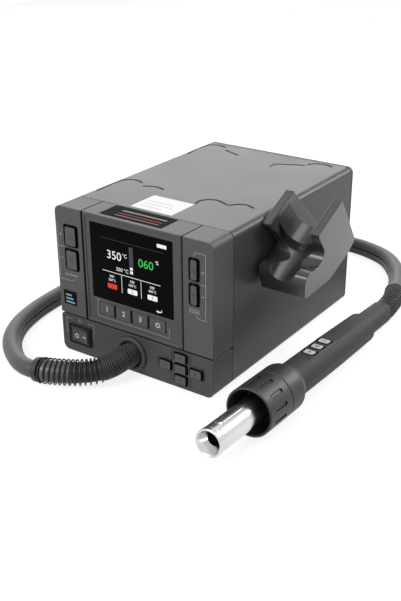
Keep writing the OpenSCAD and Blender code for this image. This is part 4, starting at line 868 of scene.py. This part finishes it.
def turned_along(name, line, profile, material):
    """A round piece along a line: profile gives its radius in mm at shares of the way."""
    total = line_length(line)

    def ring_at(gone):
        share = gone / total
        for (s0, r0), (s1, r1) in zip(profile, profile[1:]):
            if share <= s1 + TINY:
                radius = r0 + (r1 - r0) * (share - s0) / max(s1 - s0, TINY)
                return round_points(0, 0, radius * MM, ROUND_SIDES)
        return round_points(0, 0, profile[-1][1] * MM, ROUND_SIDES)
    piece = swept(name, line, ring_at, material)
    return piece


collar_way = even_line(outlet_line, FINE_STEP)
collar = turned_along("hose_collar_moulded", part_of(collar_way, COLLAR_START, COLLAR_END),
                      [(0, 9.6), (0.06, 9.9), (0.8, 9.8), (0.92, 9.4), (1, 8.5)], collar_rubber)
washer = turned_along("collar_washer", part_of(collar_way, WASHER_START, COLLAR_START + WASHER_OVERLAP),
                      [(0, 9.9), (0.2, 10.25), (0.8, 10.25), (1, 9.9)], matt_black)
inner_sleeve = turned_along("outlet_inner_sleeve",
                            part_of(collar_way, CLOSE_COIL_END - SLEEVE_OVERLAP, COLLAR_START),
                            [(0, 8.5), (1, 8.8)], sleeve_rubber)
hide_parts("hose_collar")
tail_lip = turned_along("tail_lip", even_line(part_of(tail_way, TAIL_MM - LIP_LENGTH), FINE_STEP),
                        [(0, 8.2), (0.1, 8.8), (0.3, 9.0), (0.75, 9.0), (0.9, 8.7), (1, 8.0)], collar_rubber)
# A black sleeve under the tail coil: painted shade between its turns
tail_shade_sleeve = turned_along("tail_painted_shade_sleeve", part_of(tail_way, TAIL_START, TAIL_MM - TAIL_SLEEVE_GAP),
                           [(0, 7.6), (1, 7.6)], matt_black)
print("collar, washer, lip and sleeves made")

# %% [markdown]
# ## Print and small symbols
# The panels carry thin printed lines, and the keys small symbols. Print is a film of ink some 0.02 mm
# thick. Each mark is drawn flat, as outlines in millimetres, filled and given a thickness, and then
# dropped onto the panel under it: from each of its points a ray goes to the panel's surface. So a mark
# always lies on what carries it, on curved faces too.

# %% Outlines of marks
RING_SIDES = 32
BOW_STEPS = 14
CORNER_STEPS = 5
# A mitre reaches no further than this lets it
LEAST_MITRE = 0.4


def stroke(points, width):
    """Outline of a line of some width through points, with mitred corners."""
    left = []
    right = []
    for i, (x, y) in enumerate(points):
        before = points[max(i - 1, 0)]
        after = points[min(i + 1, len(points) - 1)]
        way_in = Vector((x - before[0], y - before[1]))
        way_out = Vector((after[0] - x, after[1] - y))
        way_in = way_in if way_in.length else way_out
        way_out = way_out if way_out.length else way_in
        way_in.normalize()
        way_out.normalize()
        middle = (way_in + way_out).normalized()
        side = Vector((-middle.y, middle.x))
        reach = width / 2 / max(middle.dot(way_in), LEAST_MITRE)
        left.append((x + side.x * reach, y + side.y * reach))
        right.append((x - side.x * reach, y - side.y * reach))
    return left + right[::-1]


def ring(x, y, radius, width):
    """Two outlines, one inside the other, which fill as a ring."""
    return [round_points(x, y, r, RING_SIDES) for r in (radius + width / 2, radius - width / 2)]


def on_circle(x, y, radius, degrees):
    """Point of a circle in a direction."""
    angle = math.radians(degrees)
    return x + radius * math.cos(angle), y + radius * math.sin(angle)


def bow(x, y, radius, start, end, count=BOW_STEPS):
    """Points of an arc, angles in degrees."""
    return [on_circle(x, y, radius, start + (end - start) * k / count) for k in range(count + 1)]


def box_outline(x0, y0, x1, y1, corner=0.0):
    """Outline of a rectangle with round corners."""
    if not corner:
        return [(x0, y0), (x1, y0), (x1, y1), (x0, y1)]
    return (bow(x1 - corner, y0 + corner, corner, -90, 0, CORNER_STEPS)
            + bow(x1 - corner, y1 - corner, corner, 0, 90, CORNER_STEPS)
            + bow(x0 + corner, y1 - corner, corner, 90, 180, CORNER_STEPS)
            + bow(x0 + corner, y0 + corner, corner, 180, 270, CORNER_STEPS))


def plus(x, y, size, width):
    """A plus sign as one outline."""
    s = size / 2
    w = width / 2
    return [(x - s, y - w), (x - w, y - w), (x - w, y - s), (x + w, y - s), (x + w, y - w), (x + s, y - w),
            (x + s, y + w), (x + w, y + w), (x + w, y + s), (x - w, y + s), (x - w, y + w), (x - s, y + w)]


# %% Marks dropped onto a surface
# Each side: where a ray starts for a mark's two measures, and the way that it goes
FRONT = (lambda u, v: at_case(u, -30, v), Vector((0, 1, 0)))
TOP = (lambda u, v: at_case(u, v, 170), -UP)
HAND_TOP = (lambda u, v: at_hand(u, v, 30), -HAND_UP)
WORD_STEPS = 4
MELT_DISTANCE = 0.002 * MM
surfaces = {}


def surface_of(name):
    """Search tree of a CAD node's surface."""
    if name not in surfaces:
        mesh = nodes[name].data
        surfaces[name] = BVHTree.FromPolygons([v.co.copy() for v in mesh.vertices],
                                              [tuple(p.vertices) for p in mesh.polygons])
    return surfaces[name]


def filled(outlines, words):
    """Flat mesh of filled outlines and short words, one unit thick, as points and faces in millimetres."""
    curves = []
    if outlines:
        curve = bpy.data.curves.new("outlines", "CURVE")
        curve.dimensions = "2D"
        curve.fill_mode = "BOTH"
        curve.extrude = 0.5
        for outline in outlines:
            spline = curve.splines.new("POLY")
            spline.points.add(len(outline) - 1)
            for spot, (x, y) in zip(spline.points, outline):
                spot.co = (x, y, 0, 1)
            spline.use_cyclic_u = True
        curves.append(curve)
    for text, size, x, y, bold in words:
        word = bpy.data.curves.new("word", "FONT")
        word.body = text
        word.size = size
        word.extrude = 0.5
        word.offset = bold
        word.align_x = "CENTER"
        word.align_y = "CENTER"
        word.offset_x = x
        word.offset_y = y
        word.resolution_u = WORD_STEPS
        curves.append(word)
    points = []
    faces = []
    for curve in curves:
        holder = bpy.data.objects.new("holder", curve)
        mesh = holder.to_mesh()
        faces += [tuple(len(points) + k for k in face.vertices) for face in mesh.polygons]
        points += [vertex.co.copy() for vertex in mesh.vertices]
        holder.to_mesh_clear()
        bpy.data.objects.remove(holder)
        bpy.data.curves.remove(curve)
    return points, faces


def printed(name, carrier, material, outlines=(), words=(), side=FRONT, body="root", slot_name=None,
            proud=0.04, sunk=0.03):
    """Marks on a CAD node's surface, seen from one side. They ride on a body and stand proud by a hair."""
    start, way = side
    flat, faces = filled(list(outlines), list(words))
    surface = surface_of(carrier)
    points = []
    missed = 0
    for spot in flat:
        origin = start(spot.x, spot.y)
        hit = surface.ray_cast(origin, way)[0]
        if hit is None:
            missed += 1
            hit = points[-1] if points else origin
        points.append(hit - way * (proud if spot.z > 0 else -sunk) * MM)
    piece = new_piece(name, points, faces, material, body, smooth=False)
    shape = bmesh.new()
    shape.from_mesh(piece.data)
    bmesh.ops.remove_doubles(shape, verts=shape.verts, dist=MELT_DISTANCE)
    bmesh.ops.recalc_face_normals(shape, faces=shape.faces)
    shape.to_mesh(piece.data)
    shape.free()
    print(name, len(piece.data.polygons), "faces, missed", missed)
    return piece


# %% Print on the columns
LINE = 0.42
BOLD = 0.5
THIN = 0.36
WAVE_LINE = 0.4
WAVE_STEPS = 20
WAVE_ROWS = 3
# Brackets round both keys of a column, a plus and a dash beside them, and a thermometer under the left ones
left_marks = [
    stroke([(1.5, 112), (1.5, 92.5)], LINE),
    stroke([(1.1, 92.2), (7.2, 92.2)], LINE),
    stroke([(1.5, 91.9), (1.5, 63.6), (15, 64.0), (16.7, 66)], LINE),
    plus(4.5, 102.2, 2.8, BOLD),
    stroke([(3.3, 82.3), (6.1, 82.3)], BOLD)]
left_marks += ring(8.0, 69.0, 0.95, LINE)
left_marks += [box_outline(9.5, 68.6, 20.5, 69.4, 0.35)]
left_marks += [stroke([(x, 70.1), (x, 71.1)], THIN) for x in (11.5, 13.7, 15.9, 18.1)]
right_marks = [
    stroke([(133.5, 112.9), (133.7, 115.7), (139.3, 116.3), (143.3, 115.8), (143.4, 92.3)], LINE),
    stroke([(139, 92), (144, 92)], LINE),
    stroke([(143.4, 91.7), (143.4, 63.6), (137, 64), (134.6, 66)], LINE),
    plus(141, 101.8, 2.6, BOLD),
    stroke([(139.6, 82.5), (142.2, 82.5)], BOLD)]
# Waves of air under the right ones
for row in range(WAVE_ROWS):
    right_marks.append(stroke([(128.6 + 0.5 * k, 68.0 + row * 1.35 + 0.35 * math.sin(k * 0.9))
                               for k in range(WAVE_STEPS)], WAVE_LINE))
printed("print_left_column", "front_frame", ink_pale, left_marks, slot_name="front_panels")
printed("print_right_column", "front_frame", ink_pale, right_marks, slot_name="front_panels")

# %% Print on the lower moulding and under the screen
# Brackets round the switch, with the common sign for power over it: an open ring and a stroke
switch_marks = [
    stroke([(10.1, 29.3), (4.8, 29.5), (4.4, 16.6), (6.3, 15.9)], LINE),
    stroke([(27.4, 28.9), (34.1, 29.2), (33.1, 15.9)], LINE),
    stroke(bow(19.2, 29.3, 1.5, 130, 410, 18), LINE),
    stroke([(19.2, 29.6), (19.2, 31.4)], LINE)]
# A bracket round the strip of keys
pod_marks = [stroke([(41.2, 54.6), (39.4, 54.4), (39.1, 40.1), (109.6, 39.7), (109.5, 46.9),
                     (107.6, 47)], LINE)]
printed("print_switch", "lower_panel", ink_pale, switch_marks, slot_name="front_panels")

# Painted shade for the dark gap round the switch's bezel, drawn as a black rim on the bezel itself
SWITCH_LEFT = 8.2
SWITCH_RIGHT = 31.0
SWITCH_LOW = 8.5
SWITCH_HIGH = 25.3
SWITCH_CORNER = 1.2
GAP_SHADE_WIDTH = 1.2
switch_gap_shade = [box_outline(SWITCH_LEFT + inset, SWITCH_LOW + inset, SWITCH_RIGHT - inset,
                          SWITCH_HIGH - inset, SWITCH_CORNER) for inset in (0.0, GAP_SHADE_WIDTH)]
printed("switch_gap_shade", "switch_frame", matt_black, switch_gap_shade, slot_name="switch")
printed("print_strip", "display_pod", ink_pale, pod_marks, slot_name="front_panels")

# A small dark label on the left column with three bars of falling length
printed("label_square", "front_frame", label_black, [box_outline(3.8, 42, 17.5, 54.5, 0.5)], proud=0.08)
bars = [box_outline(6.0, 43.6 + 3.1 * k, 15.3 - 1.6 * k, 45.0 + 3.1 * k, 0.3) for k in range(3)]
printed("label_square_bars", "front_frame", label_blue, bars, proud=0.11, sunk=-0.06)

# %% [markdown]
# ## Symbols on the keys
# The keys of the strip are numbered, the last one has two arrows that chase each other, and each direction
# key has a small triangle. Along the right edge of each of the strip's keys lies a thin dark stripe,
# painted shade for the gap beside it. All of them ride on their own key, so they move with it when it is
# pressed.

# %% Strip of keys
NUMBER_SIZE = 6.0
NUMBER_LEFT = 0.4
NUMBER_BOLD = 0.1
STRIP_HIGH = 47.7
KEY_HALF_WIDTH = 7.75
KEY_LOW = 42.65
KEY_HIGH = 52.75
GAP_SHADE_STRIPE = 1.25
GAP_SHADE_STRIPE_LAST = 0.7
for name in STRIP_KEYS:
    x = middle_of(name).x
    edge_x = x + KEY_HALF_WIDTH
    gap_shade_width = GAP_SHADE_STRIPE_LAST if name == "cycle_key" else GAP_SHADE_STRIPE
    # A thin dark stripe of painted shade on the key's right edge, for the gap beside it
    printed("gap_shade_stripe_" + name, name, matt_black, [box_outline(edge_x - gap_shade_width, KEY_LOW, edge_x, KEY_HIGH)],
            body=name, slot_name="channel_keys")
    if name != "cycle_key":
        number = (name[-1], NUMBER_SIZE, x - NUMBER_LEFT, STRIP_HIGH, NUMBER_BOLD)
        printed("number_" + name, name, ink_white, words=[number], body=name, slot_name="channel_keys")

CYCLE_X = 98.5
CYCLE_RADIUS = 1.7
CYCLE_LINE = 0.8
HEAD_HALF = 0.95
HEAD_LENGTH = 1.1
CYCLE_STARTS = (20, 200)
CYCLE_SWEEP = 145
arrows = [stroke(bow(CYCLE_X, STRIP_HIGH, CYCLE_RADIUS, start, start + CYCLE_SWEEP), CYCLE_LINE)
          for start in CYCLE_STARTS]
for start in CYCLE_STARTS:
    tip = Vector(on_circle(CYCLE_X, STRIP_HIGH, CYCLE_RADIUS, start + CYCLE_SWEEP))
    out = Vector(on_circle(0, 0, 1, start + CYCLE_SWEEP))
    ahead = Vector((-out.y, out.x))
    arrows.append([tuple(tip + out * HEAD_HALF), tuple(tip + ahead * HEAD_LENGTH),
                   tuple(tip - out * HEAD_HALF)])
printed("symbol_cycle", "cycle_key", ink_white, arrows, body="cycle_key", slot_name="channel_keys")

# %% Direction keys and the rocker
# A triangle's tip lies this far ahead of the key's middle, its base this far behind, and half as wide
TIP_AHEAD = 1.3
BASE_BEHIND = 0.9
BASE_HALF = 1.5
for way, (dx, dz) in PAD_WAYS.items():
    key = "pad_key_" + way
    middle = middle_of(key)
    x = middle.x
    z = middle.z
    if dx or dz:
        mark = [[(x + dx * TIP_AHEAD, z + dz * TIP_AHEAD),
                 (x - dx * BASE_BEHIND - dz * BASE_HALF, z - dz * BASE_BEHIND + dx * BASE_HALF),
                 (x - dx * BASE_BEHIND + dz * BASE_HALF, z - dz * BASE_BEHIND - dx * BASE_HALF)]]
    else:
        mark = ring(x, z, 1.1, BOLD)
    printed("symbol_pad_" + way, key, ink_dark, mark, body=key, slot_name="pad_keys")

printed("symbol_off", "power_rocker", ink_white, ring(16.0, 15.8, 1.7, 0.8), body="power_rocker",
        slot_name="switch")
printed("symbol_on", "power_rocker", ink_white, [stroke([(23.0, 16.8), (26.8, 16.8)], 0.9)],
        body="power_rocker", slot_name="switch")

# %% [markdown]
# ## Buttons and cup of the handpiece
# The three buttons carry a plus, a ring and a dash, and round each lies a black ring of painted shade, for
# the gap that it stands in. The cup has a ring of long slots that let hot air out. The CAD model has the
# slots; what is added is a dark line of painted shade round each, laid on the cup from its own side, all
# round the axis.

# %% Painted gap shade and signs of the buttons
BUTTON_ALONG = (86.9, 98.9, 110.9)
BUTTON_WIDTH = 8.4
BUTTON_LENGTH = 6.2
BUTTON_CORNER = 1.2
GAP_SHADE_OUTER = 1.6
GAP_SHADE_INNER = 0.4
SIGN_LINE = 0.75


def button_edge(along, beyond):
    """Outline round a button of the handpiece, so many millimetres beyond its edge."""
    half_width = BUTTON_WIDTH / 2 + beyond
    half_length = BUTTON_LENGTH / 2 + beyond
    return box_outline(-half_width, along - half_length, half_width, along + half_length,
                       BUTTON_CORNER + beyond)


# A black ring of painted shade round each button, for the gap it stands in
# At its corners the inner edge lies over the openings, where a ray finds nothing: such a point is put on
# the one before it
button_gap_outlines = [button_edge(along, beyond) for along in BUTTON_ALONG for beyond in (GAP_SHADE_OUTER, GAP_SHADE_INNER)]
printed("button_gap_shade", "grip_upper", matt_black, button_gap_outlines, side=HAND_TOP, slot_name="grip_buttons")
button_signs = [[plus(0, BUTTON_ALONG[0], 3.6, SIGN_LINE)],
                ring(0, BUTTON_ALONG[1], 1.3, 0.7),
                [stroke([(-1.8, BUTTON_ALONG[2]), (1.8, BUTTON_ALONG[2])], SIGN_LINE)]]
for k, sign in enumerate(button_signs):
    body = "grip_button_%d" % (k + 1)
    printed("symbol_button_%d" % (k + 1), body, ink_dark, sign, side=HAND_TOP, body=body,
            slot_name="grip_buttons")

# %% Painted shade round the cup's slots
SLOT_COUNT = 12
SLOT_STEP = 360 / SLOT_COUNT
SLOT_FIRST = 15
SLOT_START = 7.0
SLOT_END = 22.0
SLOT_HALF_WIDTH = 1.5
# The line reaches from a little outside the slot's edge to a little inside it
SLOT_SHADE_OUTER = 0.2
SLOT_SHADE_INNER = -0.35
# The rays start this far from the axis, well outside the cup
RAY_START = 30
# A round end just short of the half width leaves a short straight line between its two corners
NOT_QUITE = 0.01


def cup_side(angle):
    """Rays to the cup from one direction round its axis: a start for (across, along) and a way."""
    turned = math.radians(angle)
    out_x = math.cos(turned)
    out_up = math.sin(turned)

    def start(across, along):
        return at_hand(RAY_START * out_x - across * out_up, along, RAY_START * out_up + across * out_x)
    return start, -(ACROSS * out_x + HAND_UP * out_up)


slot_lines = []
for beyond in (SLOT_SHADE_OUTER, SLOT_SHADE_INNER):
    half = SLOT_HALF_WIDTH + beyond
    slot_lines.append(box_outline(-half, SLOT_START - beyond, half, SLOT_END + beyond, half - NOT_QUITE))
# A dark line of painted shade round each slot
for k in range(SLOT_COUNT):
    printed("slot_painted_shade_%d" % (k + 1), "guard_cup", matt_black, slot_lines,
            side=cup_side(SLOT_FIRST + SLOT_STEP * k), slot_name="handpiece")

# %% [markdown]
# ## Lit display
# The display shows plain numbers: a set temperature, an air flow, a bar for the level, and three stored
# settings below a line. Each group of one colour is one thin piece on the window. Real segments lie a
# millimetre under the window, but its film makes them look as if they were printed on top.

# %% Screen marks
SCREEN = {"side": FRONT, "slot_name": "lcd_module", "proud": 0.03, "sunk": 0.02}
LARGE = 9.8
MEDIUM = 4.4
SMALL = 2.9
# Each word: its text, height, place and how much bolder it is drawn
digits = [("350", LARGE, 57.8, 95.4, 0.02), ("°C", MEDIUM, 68.2, 97.4, 0.01),
          ("%", MEDIUM, 99.2, 99.0, 0.01), ("350 °C", 4.3, 65.5, 85.1, 0.01)]
CHIP_MIDDLES = (54.9, 74.8, 94.0)
for x, flow, heat in zip(CHIP_MIDDLES, ("060", "030", "080"), ("350°C", "300°C", "400°C")):
    digits += [(flow, SMALL, x, 77.7, 0.008), (heat, SMALL, x, 74.4, 0.008)]
# Lines between the fields, a bar at the top right, the level's two lit blocks, two chips and an arrow
white_shapes = [
    stroke([(45.6, 81.3), (101.8, 81.3)], 0.45),
    stroke([(64.5, 80.6), (64.5, 66)], 0.4),
    stroke([(83.3, 80.6), (83.3, 66)], 0.4),
    box_outline(99.4, 112, 108.1, 114.8, 0.3),
    box_outline(73.2, 84.2, 75.9, 86.6),
    box_outline(73.2, 87.4, 75.9, 89.6),
    box_outline(70.1, 67.2, 79.5, 71.4, 0.9),
    box_outline(89.3, 67.2, 98.7, 71.4, 0.9),
    stroke([(102.4, 61.2), (102.4, 59.4), (98.6, 59.4)], 0.5),
    [(98.7, 60.4), (97.2, 59.4), (98.7, 58.4)]]
red_chip = [box_outline(50.2, 67.2, 59.6, 71.4, 0.9)]
grey_shapes = [box_outline(72.6, 90.4, 76.5, 106), stroke([(45.4, 108.4), (105.0, 108.4)], 0.3)]
printed("display_white_marks", "screen_window", lit_white, white_shapes, digits, **SCREEN)
printed("display_green_marks", "screen_window", lit_green, [], [("060", LARGE, 88.5, 95.1, 0.02)], **SCREEN)
printed("display_red_marks", "screen_window", lit_red, red_chip, **SCREEN)
printed("display_grey_marks", "screen_window", lit_grey, grey_shapes, **SCREEN)
chip_numbers = [(str(k + 1), 3.6, x, 69.3, 0.01) for k, x in enumerate(CHIP_MIDDLES)]
printed("display_chip_numbers", "screen_window", window_acrylic, [], chip_numbers, side=FRONT,
        slot_name="lcd_module", proud=0.06, sunk=-0.02)

# %% [markdown]
# ## Labels
# Two film labels sit on top: a black one on the front moulding and a white one behind it. Both carry thin
# stripes, with soft corners and a thickness of a tenth of a millimetre. The stripes are ink on the film, so
# they start where it ends.

# %% Labels on top
ON_FILM = {"side": TOP, "proud": 0.13, "sunk": -0.08}
printed("label_top_black", "display_pod", label_black, [box_outline(42, 3.8, 101.5, 25.6, 0.8)], side=TOP,
        proud=0.1, slot_name="front_panels")
grey_stripes = [box_outline(54, 8.0, 96, 8.9), box_outline(54, 17.5, 96, 19.4)]
printed("label_top_stripes_grey", "display_pod", label_grey, grey_stripes, slot_name="front_panels",
        **ON_FILM)
printed("label_top_stripe_red", "display_pod", label_red, [box_outline(54, 12.2, 96, 13.3)],
        slot_name="front_panels", **ON_FILM)
printed("label_top_white", "case_shell", label_white, [box_outline(52, 30, 91.5, 60.5, 0.8)], side=TOP,
        proud=0.1, slot_name="case_shell")
label_lines = [box_outline(57, 36 + 6 * k, 57 + width, 36.5 + 6 * k) for k, width in enumerate((20, 26, 23))]
printed("label_top_lines", "case_shell", label_grey, label_lines, side=TOP, proud=0.12, sunk=-0.08,
        slot_name="case_shell")

# %% [markdown]
# ## Floor and light
# The station stands on a pale sheet. The sheet itself is a light grey, so it doesn't light the object from
# below more than a studio floor does, and what the camera and reflections see of it is lifted to white,
# with the shadow kept. Four soft lamps and a dim even sky light the object: a large lamp at the front left,
# one from behind that gives the top its sheen, a small one at the right rear for the cradle and the hose,
# and one above. Together they show a colour about as it is written.

# %% Rays that see the backdrop white
def showing_rays(tree):
    """One for the rays that show the backdrop: from the camera, off gloss and through glass; else zero."""
    rays = add_node(tree, "LightPath").outputs
    seen = add_node(tree, "Math", {0: rays["Is Camera Ray"], 1: rays["Is Glossy Ray"]},
                    operation="MAXIMUM")
    seen_too = add_node(tree, "Math", {0: seen.outputs[0], 1: rays["Is Transmission Ray"]},
                        operation="MAXIMUM")
    return seen_too.outputs[0]


# %% Floor
FLOOR_HALF = 1.6
FLOOR_LIFT = 0.83
floor_corners = [(-FLOOR_HALF, -FLOOR_HALF, 0), (FLOOR_HALF, -FLOOR_HALF, 0),
                 (FLOOR_HALF, FLOOR_HALF, 0), (-FLOOR_HALF, FLOOR_HALF, 0)]
floor_mesh = bpy.data.meshes.new("floor")
floor_mesh.from_pydata(floor_corners, [], [(0, 1, 2, 3)])
floor = bpy.data.objects.new("floor", floor_mesh)
scene.collection.objects.link(floor)
floor_paper, tree, shader = new_material("paper_sweep_pale")
floor_mesh.materials.append(floor_paper)
tree.nodes.remove(shader)
paper = add_node(tree, "BsdfDiffuse", {"Color": linear("#9a9a9a")})
lift = add_node(tree, "Emission", {"Color": (1, 1, 1, 1), "Strength": FLOOR_LIFT})
both = add_node(tree, "AddShader", {0: paper.outputs[0], 1: lift.outputs[0]})
surface = add_node(tree, "MixShader", {0: showing_rays(tree), 1: paper.outputs[0], 2: both.outputs[0]})
tree.links.new(surface.outputs[0], tree.nodes["Material Output"].inputs["Surface"])
print("floor:", 2 * FLOOR_HALF, "m wide")

# %% Sky and lamps
SKY_LEVEL = 0.22
LAMP_AIM = Vector((0.0, 0.02, 0.06))
LAMPS = {
    "lamp_front": {"place": (-0.5, -1.6, 1.3), "size": (1.0, 0.8), "power": 24.0},
    "lamp_back": {"place": (-1.1, 1.3, 0.9), "size": (1.6, 0.9), "power": 11.5},
    "lamp_right": {"place": (0.45, 0.75, 0.5), "size": (0.3, 0.25), "power": 4.0},
    "lamp_top": {"place": (0.5, 0.3, 1.6), "size": (0.5, 1.2), "power": 6.0},
}
world = bpy.data.worlds.new("studio")
scene.world = world
world.use_nodes = True
tree = world.node_tree
tree.nodes.clear()
level = add_node(tree, "MapRange", {"Value": showing_rays(tree), "To Min": SKY_LEVEL, "To Max": 1.0})
sky = add_node(tree, "Background", {"Color": (1, 1, 1, 1), "Strength": level.outputs[0]})
add_node(tree, "OutputWorld", {"Surface": sky.outputs[0]})

for name, lamp in LAMPS.items():
    light = bpy.data.lights.new(name, "AREA")
    light.shape = "RECTANGLE"
    light.size, light.size_y = lamp["size"]
    light.energy = lamp["power"]
    holder = bpy.data.objects.new(name, light)
    holder.location = lamp["place"]
    holder.rotation_mode = "QUATERNION"
    holder.rotation_quaternion = (LAMP_AIM - Vector(lamp["place"])).to_track_quat("-Z", "Y")
    holder.visible_camera = False
    scene.collection.objects.link(holder)
scene.view_settings.view_transform = "Standard"
print("lamps:", sorted(LAMPS))
